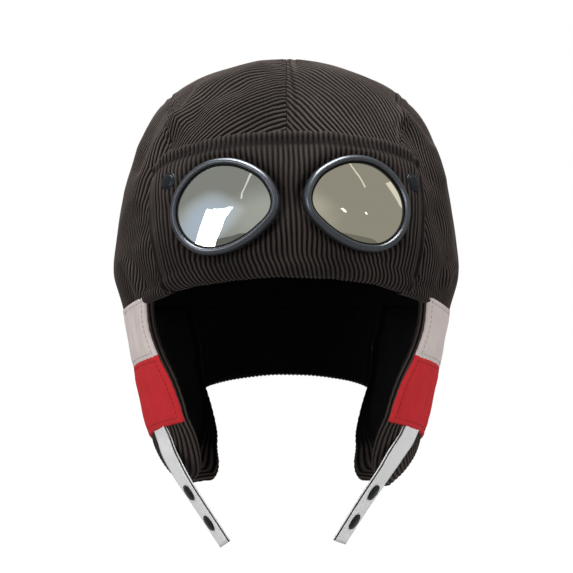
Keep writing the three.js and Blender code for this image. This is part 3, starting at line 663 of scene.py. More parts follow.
for name, sign in SIDES.items():
    points = top_cage(sign)
    width, length = mean_size(points)
    surface = on_cage(points, cage_normals(points), width, length)
    grid, wales = slanted_cloth(width, length, TOP_SLANTS[name])

    def place(flat):
        middle, side = flat[:, 0], width - flat[:, 0]
        moved = wander(flat, edge_distance(flat[:, 0], flat[:, 1], width, length), sign)
        ends = ramp(np.minimum(flat[:, 1], length - flat[:, 1]) / 70)
        moved[:, 1] -= TOP_SWINGS[name] * (flat[:, 0] / width) ** 2 * smooth(ends)
        spots, normals = surface(moved[:, 0], moved[:, 1])
        drape = 0.5 * ripple(flat[:, 0], flat[:, 1], sign) * (1 - near_edge(np.minimum(middle, side), 8))
        pucker = 0.25 * np.sin(flat[:, 1] * 0.9) * (near_edge(middle, 9) + near_edge(side, 9))
        seam = pinched(middle) + pinched(side)
        seam += stitched(middle, 3.5, 0.8) + stitched(side, 3.6, 0.5) + 0.3 * bell(side - 1.9, 1.1)
        lift = WALE_HEIGHT * wale_face(wales(flat)[:, 0]) + drape + pucker + seam + crown_folds(spots)
        return spots + normals * np.maximum(lift, DEEPEST)[:, None], normals

    panel = lay_cloth(f"crown_top_{name}_cloth", grid, place, wall=1.3, pattern=wales)
    dress(panel, corduroy, f"crown_top_{name}")

# The crown's two side panels: the same corduroy with upright wales, sewn to the top panels along a seam
# over each temple. Their lower edges are turned under, and show as a small roll beside the goggle panel.
SIDE_DROP = 3.2
SIDE_ROLL = 2.3
SIDE_ROLL_TURN = math.radians(170)
# Rings of the crown, and points from front to back on each, in which a panel's outline is looked for
SIDE_RINGS, SIDE_POINTS = 241, 281


def side_cage(sign, rows=33, columns=49):
    """Grid of points on a side panel: across from the front to the back, and up from its lower edge."""
    azimuth = np.radians(np.linspace(20, 160, SIDE_POINTS))
    shares = np.linspace(1, 0.2, SIDE_RINGS)
    rings = crown_face(azimuth[None, :], shares[:, None])
    reach = row_lengths(rings)
    reach -= reach[:, [SIDE_POINTS // 2]]
    # From the hem up to the widest ring the panel's ends follow the seam, and above that they run straight up
    past_seam = rings[..., 0] > seam_x(rings[..., 1]) + SEAM_GAP / 2
    front = np.minimum.accumulate(np.where(past_seam, reach, 1e3).min(1)) + 0.2
    back = np.maximum.accumulate(np.where(past_seam, reach, -1e3).max(1)) - 0.2
    share = np.linspace(0, 1, columns)
    table = np.array([[np.interp(front[k] + (back[k] - front[k]) * share, reach[k], rings[k][:, axis])
                       for axis in range(3)] for k in range(SIDE_RINGS)]).transpose(0, 2, 1)
    points = np.empty((rows, columns, 3))
    for k in range(columns):
        line = table[:, k]
        past = line[:, 0] - seam_x(line[:, 1]) - SEAM_GAP / 2
        # Shares go down from the lower edge, and the line is left where it first crosses the seam
        crossing = np.argmax(past < 0) if (past < 0).any() else SIDE_RINGS - 1
        crossing = max(crossing, 1)
        f = ramp(past[crossing - 1] / max(past[crossing - 1] - past[crossing], 1e-9))
        stop = crossing - 1 + f
        places = np.linspace(0, max(stop, 0.05), rows)
        for axis in range(3):
            points[:, k, axis] = np.interp(places, np.arange(SIDE_RINGS), line[:, axis])
    return points * [sign, 1, 1], back[-1] - front[-1]


def turn_under(points, normals, towards, angle, radius):
    """Rolls cloth under at an edge: by an angle, about a line that lies a radius below it."""
    turned = normals * np.cos(angle)[:, None] + towards * np.sin(angle)[:, None]
    return points + (turned - normals) * radius, turned


for name, sign in SIDES.items():
    points, width = side_cage(sign)
    length = np.linalg.norm(np.diff(points, axis=0), axis=-1).sum(0).max()
    surface = on_cage(points, cage_normals(points), width, length)
    roll = SIDE_ROLL * SIDE_ROLL_TURN
    rows = np.concatenate([np.linspace(-roll, 0, 8)[:-1], np.linspace(0, length, 44)]) + SIDE_ROLL
    columns = np.arange(math.floor(width / WALE_STEP) + 1) * WALE_STEP

    def place(flat):
        u, v = flat[:, 0], flat[:, 1]
        angle = np.clip((SIDE_ROLL - v) / SIDE_ROLL, 0, SIDE_ROLL_TURN)
        level = np.maximum(v, SIDE_ROLL)
        level = SIDE_ROLL + (level - SIDE_ROLL) * (length - SIDE_ROLL) / length
        top = length - level
        edge = edge_distance(u, level, width, length)
        moved = wander(np.stack([u, level], -1), edge, 3 * sign, 1.6)
        spots, normals = surface(moved[:, 0], moved[:, 1])
        towards = unit(surface(moved[:, 0], moved[:, 1] - 0.5)[0] - spots)
        drape = 0.4 * bell(top - 2.2, 1.3) - 0.5 * bell(top - 5, 1)
        drape += 0.7 * ripple(u, v, 3 * sign) * (1 - near_edge(top, 10)) * ramp(v / 20)
        # In front of the ear flap the turned-up hem is stitched, and stands out as a roll
        front = ramp((-spots[:, 1] - 60) / 8)
        hem = front * (1.3 * bell(level - 3.2, 2.6) - 1.1 * bell(level - 8, 1.3))
        lift = WALE_HEIGHT * wale_face(u) + drape + pinched(top) + crown_folds(spots) + hem
        # The hem hangs a little over the tops of the flaps
        spots = spots - np.array([0, 0, SIDE_DROP]) * near_edge(level, 16)[:, None]
        spots, normals = turn_under(spots, normals, towards, angle, SIDE_ROLL)
        return spots + normals * np.maximum(lift, DEEPEST)[:, None], normals

    panel = lay_cloth(f"crown_side_{name}_cloth", cloth_grid(columns, rows), place, wall=1.2)
    dress(panel, corduroy, f"crown_side_{name}")

# The goggle panel: a padded corduroy panel with upright wales, laid over the front of the crown and sewn down
# at its lower edge. Its edges are turned in over the padding, and it is stitched round below its top edge.
PANEL_SHIFT = 1
PANEL_LEAN = math.radians(1.4)
PANEL_FACE = 4.2
PANEL_EDGE = 2.2
# Height and half width of the panel, and the height of its top edge at shares of its half width
PANEL_SIDES = np.array([(-14, 63.2), (-4, 65), (8, 68), (22, 70), (36, 70.2), (50, 69.2), (64, 68)])
PANEL_TOP = np.array([(0, 69.9), (0.3, 69.4), (0.6, 67), (0.78, 64.7), (0.88, 62.6), (0.95, 60.2), (1, 55.5)])
HEM_DROP = 22
HEM_HALF_WIDTH = 90
# Reach of a goggle window's rim from its own middle, for every 30 degrees from its outer end upwards
WINDOW_REACH = np.array([29.6, 28.1, 27.0, 25.9, 25.9, 28.0, 29.4, 25.1, 23.5, 25.0, 28.2, 29.7])
WINDOW_SPREAD, WINDOW_HEIGHT, WINDOW_SHIFT, WINDOW_SINK = 32.6, 32.5, 2.2, 2.0
PANEL_SNAP_SHIFT, PANEL_SNAP_X, PANEL_SNAP_Z, PANEL_SNAP_SINK = 2.3, 61.4, 45.4, 0.9


def crown_spot(x, z):
    """Azimuth and share of the crown's points with these x and z, on its front half."""
    def share_for(azimuth):
        return halved(np.zeros(x.shape), np.ones(x.shape), lambda s: crown_face(azimuth, s)[..., 2] > z, 22)

    azimuth = halved(np.zeros(x.shape), np.full(x.shape, math.pi / 2),
                     lambda a: crown_face(a, share_for(a))[..., 0] < np.abs(x), 22)
    return np.sign(x) * azimuth, share_for(azimuth)


def face_place(x, z, lift):
    """Where something sits on the front of the hat, square to it, as a matrix in mm."""
    azimuth, share = crown_spot(np.array([x], float), np.array([z], float))
    normal = face_normals(crown_face, azimuth, share)[0]
    point = crown_face(azimuth, share)[0] + lift * normal
    outward = unit(np.array([-normal[1], normal[0], 0]))
    matrix = np.eye(4)
    matrix[:3] = np.stack([outward, np.cross(normal, outward), normal, point], -1)
    return matrix


def window_matrix(sign):
    x = WINDOW_SHIFT + sign * WINDOW_SPREAD * math.cos(PANEL_LEAN)
    z = WINDOW_HEIGHT + sign * WINDOW_SPREAD * math.sin(PANEL_LEAN)
    return face_place(x, z, PANEL_FACE - WINDOW_SINK)


def window_reach(angle):
    count = len(WINDOW_REACH)
    place = (angle / (2 * math.pi)) % 1 * count
    i = np.floor(place).astype(int)
    f = place - i
    a, b, c, d = (WINDOW_REACH[(i + k) % count] for k in (-1, 0, 1, 2))
    return b + 0.5 * f * (c - a + f * (2 * a - 5 * b + 4 * c - d + f * (3 * (b - c) + d - a)))


def inside(matrix, points):
    """Points in the places of a matrix's own axes."""
    return (points - matrix[:3, 3]) @ matrix[:3, :3]


def window_inset(points):
    """How far points lie inside the nearer window's rim; below zero outside it."""
    deepest = np.full(len(points), -1e3)
    for sign in (-1, 1):
        spot = inside(window_matrix(sign), points)
        reach = window_reach(np.arctan2(spot[:, 1], sign * spot[:, 0]))
        deepest = np.maximum(deepest, reach - np.hypot(spot[:, 0], spot[:, 1]))
    return deepest


def panel_cage(rows=25, columns=49):
    share = np.linspace(-1, 1, columns)[None, :]
    up = np.linspace(0, 1, rows)[:, None]
    half = np.interp(0, PANEL_SIDES[:, 0], PANEL_SIDES[:, 1])
    bottom = 0.4 - HEM_DROP * np.abs(share * half / HEM_HALF_WIDTH) ** HEM_BEND
    z = bottom + (np.interp(np.abs(share), PANEL_TOP[:, 0], PANEL_TOP[:, 1]) - bottom) * up
    x = share * np.interp(z, PANEL_SIDES[:, 0], PANEL_SIDES[:, 1])
    leaning_x = PANEL_SHIFT + x * math.cos(PANEL_LEAN) - z * math.sin(PANEL_LEAN)
    azimuth, level = crown_spot(leaning_x, z + x * math.sin(PANEL_LEAN) * up)
    return even_columns(crown_face(azimuth, level), columns)


def edge_turn(along, total, radius):
    """Where cloth with both edges turned down lies, and the sine of its turn, with a sign for the end."""
    arc = radius * math.pi / 2
    near = np.sin(ramp(1 - along / arc) * math.pi / 2)
    far = np.sin(ramp(1 - (total - along) / arc) * math.pi / 2)
    lying = np.clip(along - arc, 0, total - 2 * arc) + radius
    return lying - radius * near + radius * far, far - near


def turned_length(length, radius):
    return length + radius * (math.pi - 2)


def even_lines(length, step):
    return np.linspace(0, length, round(length / step) + 1)


def edge_rows(length, radius, step):
    """Lines along turned cloth, closer together where it turns."""
    arc = radius * math.pi / 2
    middle = np.linspace(arc, length - arc, round((length - 2 * arc) / step) + 1)
    return np.concatenate([np.linspace(0, arc, 6)[:-1], middle, np.linspace(length - arc, length, 6)[1:]])


def on_turned(surface, flat, size, radius):
    """Points, normals and lying places of cloth that is turned down at all its edges."""
    u, turn_u = edge_turn(flat[:, 0], turned_length(size[0], radius), radius)
    v, turn_v = edge_turn(flat[:, 1], turned_length(size[1], radius), radius)
    spots, normals = surface(u, v)
    way_u = unit(surface(u + 0.3, v)[0] - surface(u - 0.3, v)[0])
    way_v = unit(surface(u, v + 0.3)[0] - surface(u, v - 0.3)[0])
    upright = np.sqrt(ramp(1 - turn_u ** 2 - turn_v ** 2))
    tilted = unit(normals * upright[:, None] + way_u * turn_u[:, None] + way_v * turn_v[:, None])
    return spots - normals * (radius * (1 - upright))[:, None], tilted, u, v


cage = panel_cage()
panel_size = mean_size(cage)
panel_surface = on_cage(cage, cage_normals(cage), *panel_size)
panel_width, panel_length = (turned_length(side, PANEL_EDGE) for side in panel_size)
TOP_HEM = 3.8
HEM_SWING = 4.0
snap_matrices = {
    name: face_place(PANEL_SNAP_SHIFT + sign * PANEL_SNAP_X, PANEL_SNAP_Z, PANEL_FACE - PANEL_SNAP_SINK)
    for name, sign in SIDES.items()
}


def panel_place(flat):
    # The wales swing sideways where the lower edge is rolled in
    low, side = ramp(1 - flat[:, 1] / 11), np.minimum(flat[:, 0], panel_width - flat[:, 0])
    swung = flat + np.stack([HEM_SWING * low * low * ramp(side / 12), 0 * low], -1)
    moved = wander(swung, np.minimum(side, panel_length - flat[:, 1]), 4, 0.7)
    spots, normals, u, v = on_turned(panel_surface, moved, panel_size, PANEL_EDGE)
    inset = window_inset(spots)
    seat = ramp((inset + 2.2) / 3.2)
    puff = 0.7 * bell(inset + 6, 3.5) - 2.5 * smooth(seat)
    for matrix in snap_matrices.values():
        near = np.linalg.norm(inside(matrix, spots)[:, :2], axis=1)
        puff -= 0.5 * ramp((7 - near) / 2.5)
    edge = np.minimum(np.minimum(u, panel_size[0] - u), panel_size[1] - v)
    thin = -1.1 * ramp(1 - edge / 14)
    # Below its rolled top edge the cloth is pulled in by the stitches, and swells out again under them
    top = panel_size[1] - v
    groove = 0.6 * bell(top - 0.6, 1.0) - 1.9 * bell(top - TOP_HEM, 2.3)
    groove += stitched(v, 7, 0.6) + 0.5 * bell(v - 3, 2.5)
    side = np.minimum(u, panel_size[0] - u)
    groove += 0.7 * bell(side - 0.8, 1.0) + stitched(side, 3.2, 0.9)
    wale = WALE_HEIGHT * wale_face(flat[:, 0])
    lift = PANEL_FACE + puff + thin + groove + 0.4 * ripple(u * 2, v * 2, 5) + wale
    return spots + normals * lift[:, None], normals


grid = cloth_grid(even_lines(panel_width, WALE_STEP), edge_rows(panel_length, PANEL_EDGE, 2.4))
flat = np.array([vertex.co[:2] for vertex in grid.verts])
hidden = window_inset(on_turned(panel_surface, flat, panel_size, PANEL_EDGE)[0]) > 2.0
grid.verts.index_update()
bmesh.ops.delete(grid, geom=[face for face in grid.faces if all(hidden[v.index] for v in face.verts)],
                 context="FACES")
panel = lay_cloth("goggle_panel_cloth", grid, panel_place, wall=0.9)
# Painted shade: a dark band below the rolled top edge, where the cloth dips in under it, and an even painted
# shade over the whole panel
paint_shade(panel, lambda laid: 0.65 * bell(panel_length - laid[:, 1] - TOP_HEM - 2, 2.4) + 0.35)
dress(panel, corduroy, "goggle_panel")

# The goggle windows: a rounded dark metal rim set into the padded panel, a black sealing ring inside it,
# and a domed mirror lens that is pressed in from behind.
WINDOW_SIDES = 112
FRAME_SECTION = [(0, 0), (0, 2.2), (0.2, 3.2), (0.6, 4.0), (1.2, 4.55), (1.9, 4.85), (2.5, 4.9), (2.85, 4.75),
                 (3.0, 4.4), (3.1, 4.25), (3.35, 4.1), (3.4, 3.8), (3.4, 0)]
GASKET_SECTION = [(2.2, -2.4), (2.2, -0.3), (3.6, -0.3), (3.6, 2.9), (4.3, 2.8), (4.4, -2.4)]
LENS_INSET, LENS_EDGE, LENS_CROWN, LENS_WALL = 4.6, 3.0, 6.2, 1.8
LENS_LEVELS = 14


def ring_stack(name, sides, levels, shape, joined=False):
    """A closed piece of rings. shape gives the points in mm for angles round it and levels along it."""
    stack = bmesh.new()
    bmesh.ops.create_circle(stack, segments=sides, radius=1)
    first = edges = list(stack.edges)
    for _ in range(levels - 1):
        grown = bmesh.ops.extrude_edge_only(stack, edges=edges)["geom"]
        fresh = {item for item in grown if isinstance(item, bmesh.types.BMVert)}
        bmesh.ops.translate(stack, verts=list(fresh), vec=(0, 0, 1))
        edges = [edge for edge in stack.edges if edge.verts[0] in fresh and edge.verts[1] in fresh]
    if joined:
        bmesh.ops.bridge_loops(stack, edges=[*first, *edges])
    places = np.array([vertex.co[:] for vertex in stack.verts])
    points = shape(np.arctan2(places[:, 1], places[:, 0]), np.round(places[:, 2]).astype(int)) / 1000
    for vertex, point in zip(stack.verts, points):
        vertex.co = point
    bmesh.ops.remove_doubles(stack, verts=stack.verts, dist=2e-6)
    bmesh.ops.recalc_face_normals(stack, faces=stack.faces)
    mesh = bpy.data.meshes.new(name)
    stack.to_mesh(mesh)
    stack.free()
    return new_piece(name, mesh)


def outside(matrix, points):
    """Points in a matrix's own axes, moved to their places on the hat."""
    return points @ matrix[:3, :3].T + matrix[:3, 3]


def window_points(sign, angle, inset, height, share=1.0):
    reach = np.maximum(window_reach(angle) - inset, 0) * share
    return np.stack([sign * reach * np.cos(angle), reach * np.sin(angle), height + 0 * reach], -1)


# Worn satin metal: fine grinding marks and a little dust change its gloss from place to place
worn, given, put = new_group(
    "satin_wear",
    {"Smooth": "NodeSocketFloat", "Rough": "NodeSocketFloat", "Size": "NodeSocketFloat"},
    {"Roughness": "NodeSocketFloat", "Height": "NodeSocketFloat"},
)
marks = node(worn, "ShaderNodeTexNoise", {"Vector": node(worn, "ShaderNodeTexCoord").outputs["Object"],
                                          "Scale": given["Size"], "Detail": 5.0, "Roughness": 0.7})
worn.links.new(ranged(worn, marks.outputs[0], 0.35, 0.7, given["Smooth"], given["Rough"]), put["Roughness"])
worn.links.new(marks.outputs[0], put["Height"])


def satin(name, colour, gloss, rough, size, **sockets):
    """A satin or mirror finish, with its roughness between two values and marks of a size."""
    material, tree, shader = new_material(name, Base_Color=(*colour, 1), **sockets)
    finish = node(tree, "ShaderNodeGroup", {"Smooth": gloss, "Rough": rough, "Size": size}, node_tree=worn)
    tree.links.new(finish.outputs["Roughness"], shader.inputs["Roughness"])
    add_bump(tree, shader, finish.outputs["Height"], 0.0001, 0.15)
    return material


gunmetal = satin("gunmetal_rim", (0.11, 0.12, 0.135), 0.28, 0.38, 220.0, Metallic=0.85, Coat_Weight=0.15,
                 Coat_Roughness=0.2)
seal_rubber = satin("black_rubber", (0.003, 0.003, 0.003), 0.6, 0.8, 300.0)
# The two lenses share one mirror coating; their different tints, grey-green on the left and warm on the
# right, are painted reflections of what each lens mirrors
lens_mirrors = {
    "left": satin("grey_mirror", (0.76, 0.79, 0.7), 0.01, 0.05, 30.0, Metallic=1.0),
    "right": satin("warm_mirror", (0.96, 0.9, 0.7), 0.01, 0.05, 30.0, Metallic=1.0),
}

for name, sign in SIDES.items():
    matrix = window_matrix(sign)

    def section_ring(piece_name, section):
        section = np.array(section, float)

        def shape(angle, level):
            return outside(matrix, window_points(sign, angle, section[level, 0], section[level, 1]))

        return ring_stack(piece_name, WINDOW_SIDES, len(section), shape, joined=True)

    rim = section_ring(f"goggle_rim_{name}", FRAME_SECTION)
    dress(rim, gunmetal, f"goggle_frame_{name}")

    seal = section_ring(f"goggle_seal_{name}", GASKET_SECTION)
    dress(seal, seal_rubber, f"goggle_gasket_{name}")

    def lens_shape(angle, level):
        behind = level >= LENS_LEVELS
        share = np.where(behind, 2 * LENS_LEVELS - 1 - level, level) / (LENS_LEVELS - 1)
        dome = LENS_CROWN + (LENS_EDGE - LENS_CROWN) * share * share - LENS_WALL * behind
        return outside(matrix, window_points(sign, angle, LENS_INSET, dome, share))

    lens = ring_stack(f"goggle_mirror_{name}", WINDOW_SIDES, 2 * LENS_LEVELS, lens_shape)
    lens.data.set_sharp_from_angle(angle=math.radians(40))
    dress(lens, lens_mirrors[name], f"goggle_lens_{name}")

# The panel's snaps: a dark painted cap with a thin bright rim at each upper corner of the goggle panel,
# riveted through the padded cloth.
snap_metal = satin("dark_snap", (0.012, 0.016, 0.02), 0.25, 0.45, 400.0, Metallic=0.5)
# Radius and height of the cap's rings
PANEL_CAP = np.array([
    (0, 0), (4.5, 0), (4.8, 0.2), (4.8, 0.75), (4.55, 1.1), (4.0, 1.15), (3.85, 1.0), (3.6, 1.45), (2.6, 1.8),
    (1.2, 1.9), (0, 1.9),
])
for name, matrix in snap_matrices.items():
    def cap_shape(angle, level):
        radius, height = PANEL_CAP[level].T
        return outside(matrix, np.stack([radius * np.cos(angle), radius * np.sin(angle), height], -1))

    cap = ring_stack(f"panel_cap_{name}", 48, len(PANEL_CAP), cap_shape)
    dress(cap, snap_metal, f"panel_snap_{name}")

# The ear flaps: corduroy cut so that its wales follow the flap's outline, sewn under the crown's edge,
# turned over the padding all the way round and stitched to a padded black lining.
FLAP_SPINE_Y = 8
FLAP_SPINE_END = -70
FLAP_EDGE = 2.8
HEM_FADE = 26
# Height, half width and reaches of the skirt that the flaps and the nape hang in, from the crown seam down
SKIRT_ROWS = np.array([
    (-22, 90, 112, 107), (-34, 87.4, 107, 106), (-46, 85.4, 101, 104), (-58, 83.2, 94, 101.5),
    (-70, 80.4, 89, 97), (-79, 78.6, 85, 89), (-88, 76.3, 78.5, 80), (-97, 73.9, 71, 70),
    (-105, 70.4, 62, 60), (-112, 65.4, 52, 50), (-117.5, 59.8, 43, 42), (-121, 55.2, 37, 36),
])
# Height of an ear flap's outline, and where its front and back edges lie
FLAP_ROWS = np.array([
    (-22, -68.5, 86), (-34, -63.4, 86), (-46, -66.2, 86), (-58, -67.4, 83.4), (-70, -66.6, 80.6),
    (-79, -65, 75.8), (-88, -62.4, 69.4), (-97, -57.6, 61.6), (-105, -50, 52.4), (-112, -39.5, 43.4),
    (-117.5, -25, 35), (-121, -8, 28),
])
fine_skirt = smooth_rows(SKIRT_ROWS, np.linspace(0, 1, 1500))
fine_flap = smooth_rows(FLAP_ROWS, np.linspace(0, 1, 1500))


def at_height(rows, height, column):
    return np.interp(-height, -rows[:, 0], rows[:, column])


def skirt_face(azimuth, height):
    depth = np.where(np.cos(azimuth) > 0, at_height(fine_skirt, height, 2), at_height(fine_skirt, height, 3))
    reach = outline_reach(azimuth, at_height(fine_skirt, height, 1), depth)
    return np.stack([reach * np.sin(azimuth), -reach * np.cos(azimuth), height + 0 * reach], -1)


def skirt_azimuth(y, height):
    y, height = np.broadcast_arrays(y, height)
    return halved(np.zeros(y.shape), np.full(y.shape, math.pi), lambda a: skirt_face(a, height)[..., 1] < y)


def skirt_points(sign, azimuth, height):
    """Points and normals of the skirt. Its upper part rises to meet the crown's lower edge."""
    azimuth, height = np.broadcast_arrays(azimuth, height)
    top = SKIRT_ROWS[0, 0]
    level = np.clip(height, SKIRT_ROWS[-1, 0] + 0.05, top - 0.05)
    points = skirt_face(azimuth, level)
    normals = face_normals(skirt_face, azimuth, level)
    fade = ramp((height - top + HEM_FADE) / HEM_FADE)
    rise = (crown_face(azimuth, np.ones(azimuth.shape))[..., 2] - top) * smooth(fade)
    points[..., 2] = height + rise - SEAM_GAP * (height > top - 0.1)
    return points * [sign, 1, 1], normals * [sign, 1, 1]


def flap_cage(sign, straight=14, round_rows=60, columns=25):
    """Grid on an ear flap: across from its middle line to its outline, and along that from front to back."""
    heights = np.linspace(SKIRT_ROWS[0, 0], FLAP_SPINE_END, straight + 1)
    front = np.stack([at_height(fine_flap, heights, 1), heights], -1)
    back = np.stack([at_height(fine_flap, heights, 2), heights], -1)[::-1]
    below = fine_flap[fine_flap[:, 0] < FLAP_SPINE_END]
    tongue = np.concatenate([below[:, [1, 0]], below[::-1][:, [2, 0]]])
    reach = row_lengths(tongue[None])[0]
    steps = np.linspace(0, reach[-1], round_rows + 1)[1:-1]
    middle = np.stack([np.interp(steps, reach, tongue[:, axis]) for axis in (0, 1)], -1)
    edge = np.concatenate([front, middle, back])
    spine = np.stack([np.full(len(edge), FLAP_SPINE_Y), np.maximum(edge[:, 1], FLAP_SPINE_END)], -1)
    share = np.linspace(0, 1, columns)[None, :, None]
    spots = spine[:, None] + (edge - spine)[:, None] * share
    azimuth = skirt_azimuth(spots[..., 0], spots[..., 1])
    return skirt_points(sign, azimuth, spots[..., 1])


FLAP_HALF_WIDTH = 77.0
FLAP_LENGTH = 300.0
FLAP_STRIP = 9.0
LINING_FULL = 7.9


def flap_cloth(name, sign):
    points, normals = flap_cage(sign)
    surface = on_cage(points, normals, FLAP_HALF_WIDTH, FLAP_LENGTH)
    lying = FLAP_HALF_WIDTH - FLAP_EDGE
    lip = lying + math.pi * FLAP_EDGE

    def place(flat):
        u, v = flat[:, 0], flat[:, 1]
        angle = np.clip((u - lying) / FLAP_EDGE, 0, math.pi)
        # The turned-in strip is wide round the flap's lower end and narrow elsewhere
        round_end = bell(v - FLAP_LENGTH * 0.56, 45)
        strip = np.maximum(u - lip, 0) * (0.3 + 0.7 * round_end)
        level = np.minimum(u, lying) - strip
        spots, normals = surface(level, v)
        towards = unit(surface(level + 0.4, v)[0] - surface(level - 0.4, v)[0])
        towards = unit(towards - normals * (towards * normals).sum(-1, keepdims=True))
        spots, normals = turn_under(spots, normals, towards, angle, FLAP_EDGE)
        ends = np.minimum(v, FLAP_LENGTH - v)
        flat_part = ramp((lying - u) / 20)
        crimp = 0.18 * np.sin(v * 2.1 + 2 * np.sin(v * 0.3)) * ramp((u - lying + 6) / 4)
        # The wales are pressed flatter round the lower end
        pressed = 1 - 0.5 * bell(v - FLAP_LENGTH * 0.52, 45)
        drape = 0.45 * ripple(u, v * 0.7, 7 * sign) * flat_part + 0.2 * strip + crimp
        drape -= 0.6 * near_edge(ends, 1.6) * ramp((lying - u) / 5)
        lift = WALE_HEIGHT * pressed * wale_face(u) + drape
        return spots + normals * lift[:, None], normals

    columns = np.arange(round((lip + FLAP_STRIP) / WALE_STEP) + 1) * WALE_STEP
    rows = np.linspace(0, FLAP_LENGTH, 2 * len(points))
    shell = lay_cloth(f"ear_flap_{name}_cloth", cloth_grid(columns, rows), place, wall=1.0)
    # Painted shade: the turned-in strip at the back of the flap is darkened to the ground colour, for the
    # shade inside the hat
    paint_shade(shell, lambda laid: (ramp((laid[:, 0] - lying + 2) / 2)
                                   * ramp((laid[:, 1] - FLAP_LENGTH * 0.66) / 8)))
    dress(shell, corduroy, f"ear_flap_{name}")

    def lining_place(flat):
        u, v = flat[:, 0], flat[:, 1]
        spots, normals = surface(u, v)
        edge = ramp((lying - u) / 22)
        ends = ramp(np.minimum(v, FLAP_LENGTH - v) / 14)
        full = np.sin(np.minimum(edge, ends) * math.pi / 2)
        sewn = 2 * FLAP_EDGE - 0.7
        depth = sewn + (LINING_FULL - sewn) * full
        depth += 0.3 * ripple(u * 1.5, v * 1.5, 9 * sign)
        return spots - normals * depth[:, None], -normals

    grid = cloth_grid(np.linspace(0, lying, 40), rows)
    padding = lay_cloth(f"flap_padding_{name}", grid, lining_place, wall=1.0)
    dress(padding, black_lining, f"flap_lining_{name}")


for name, sign in SIDES.items():
    flap_cloth(name, sign)

# The nape flap: the same padded corduroy with upright wales and a black lining, sewn under the back of the
# crown between the ear flaps.
NAPE_SEAM_Y = 86.4
NAPE_MIDDLE_Z, NAPE_CORNER_Z = -62.6, -69
NAPE_WALL = 4.5


def nape_cage(rows=17, columns=33):
    swing = np.linspace(-1, 1, columns)[None, :]
    down = np.linspace(1, 0, rows)[:, None]
    top = SKIRT_ROWS[0, 0]
    hem = NAPE_MIDDLE_Z + (NAPE_CORNER_Z - NAPE_MIDDLE_Z) * swing ** 2
    height = top + (hem - top) * down
    # Low down its sides lean outwards, along with the flaps' back edges
    seam_y = NAPE_SEAM_Y - 5.4 * ramp((-height - 46) / 24)
    azimuth = math.pi - (math.pi - skirt_azimuth(seam_y, height)) * np.abs(swing)
    points, normals = skirt_points(1, azimuth, height)
    side = np.where(swing < 0, -1, 1)[..., None] * [1, 0, 0] + [0, 1, 1]
    return points * side, normals * side


points, normals = nape_cage()
nape_size = mean_size(points)
nape_surface = on_cage(points, normals, *nape_size)
NAPE_EDGE = NAPE_WALL / 2


def nape_place(inner):
    def place(flat):
        spots, normals, u, v = on_turned(nape_surface, flat, nape_size, NAPE_EDGE)
        upright = nape_surface(u, v)[1]
        side = near_edge(np.minimum(u, nape_size[0] - u), 4)
        lift = (WALE_HEIGHT * wale_face(flat[:, 0]) + 0.3 * ripple(u, v, 11)) * (1 - side) + 0.3 * side
        if not inner:
            return spots + normals * lift[:, None], normals

        # The inner face is the outer one turned over about the middle of the wall
        base = nape_surface(u, v)[0]
        depth = ((spots - base) * upright).sum(-1)
        turned = normals - 2 * upright * (normals * upright).sum(-1, keepdims=True)
        return base + upright * (-NAPE_WALL - depth)[:, None] + turned * lift[:, None], turned

    return place


for face_name, inner, cloth, slot_name in (("outer", False, corduroy, "corduroy"),
                                           ("inner", True, black_lining, "lining")):
    columns = even_lines(turned_length(nape_size[0], NAPE_EDGE), WALE_STEP)
    rows = edge_rows(turned_length(nape_size[1], NAPE_EDGE), NAPE_EDGE, 3)
    flap = lay_cloth(f"nape_flap_{face_name}", cloth_grid(columns, rows), nape_place(inner), wall=0.9)
    dress(flap, cloth, "nape_flap")

# The colour patches: plain nylon, white over red, sewn flat on the front of each ear flap. Their edges are
# folded in and topstitched with separate stitches of thread, and the cloth lies in faint upright folds.
PATCH_BACK_Y = 13
PATCH_LIFT = 1.15
PATCH_EDGE = 0.7
# Heights at the front and back ends of the lines across a flap
CROWN_LINE, COLOUR_LINE, LOWER_LINE = (-22, -22), (-45.5, -57.5), (-79.8, -95)
white_nylon = woven_cloth("white_nylon", (0.56, 0.49, 0.47), (0.66, 0.58, 0.56), 0.35, 0.00008,
                          Roughness=0.75, Specular_IOR_Level=0.15)
red_nylon = woven_cloth("red_nylon", (0.48, 0.02, 0.026), (0.6, 0.032, 0.038), 0.35, 0.00008, Roughness=0.75,
                        Specular_IOR_Level=0.12)


def patch_cage(sign, upper, lower, rows=17, columns=25):
    across = np.linspace(0, 1, columns)[None, :]
    down = np.linspace(0, 1, rows)[:, None]
    top = upper[0] + (upper[1] - upper[0]) * across
    bottom = lower[0] + (lower[1] - lower[0]) * across
    height = top + (bottom - top) * down
    front = skirt_azimuth(at_height(fine_flap, height, 1), height) + math.radians(1.2)
    azimuth = front + (skirt_azimuth(PATCH_BACK_Y, height) - front) * across
    return skirt_points(sign, azimuth, height)


STITCH_INSET, STITCH_STEP, STITCH_LENGTH, STITCH_RADIUS = 2.7, 2.7, 1.9, 0.24
thread_colours = {
    "white": woven_cloth("grey_thread", (0.2, 0.18, 0.17), (0.3, 0.27, 0.26), 0.3, 0.00005, Roughness=0.8),
    "red": woven_cloth("dark_red_thread", (0.13, 0.006, 0.008), (0.2, 0.01, 0.012), 0.3, 0.00005,
                       Roughness=0.8),
}


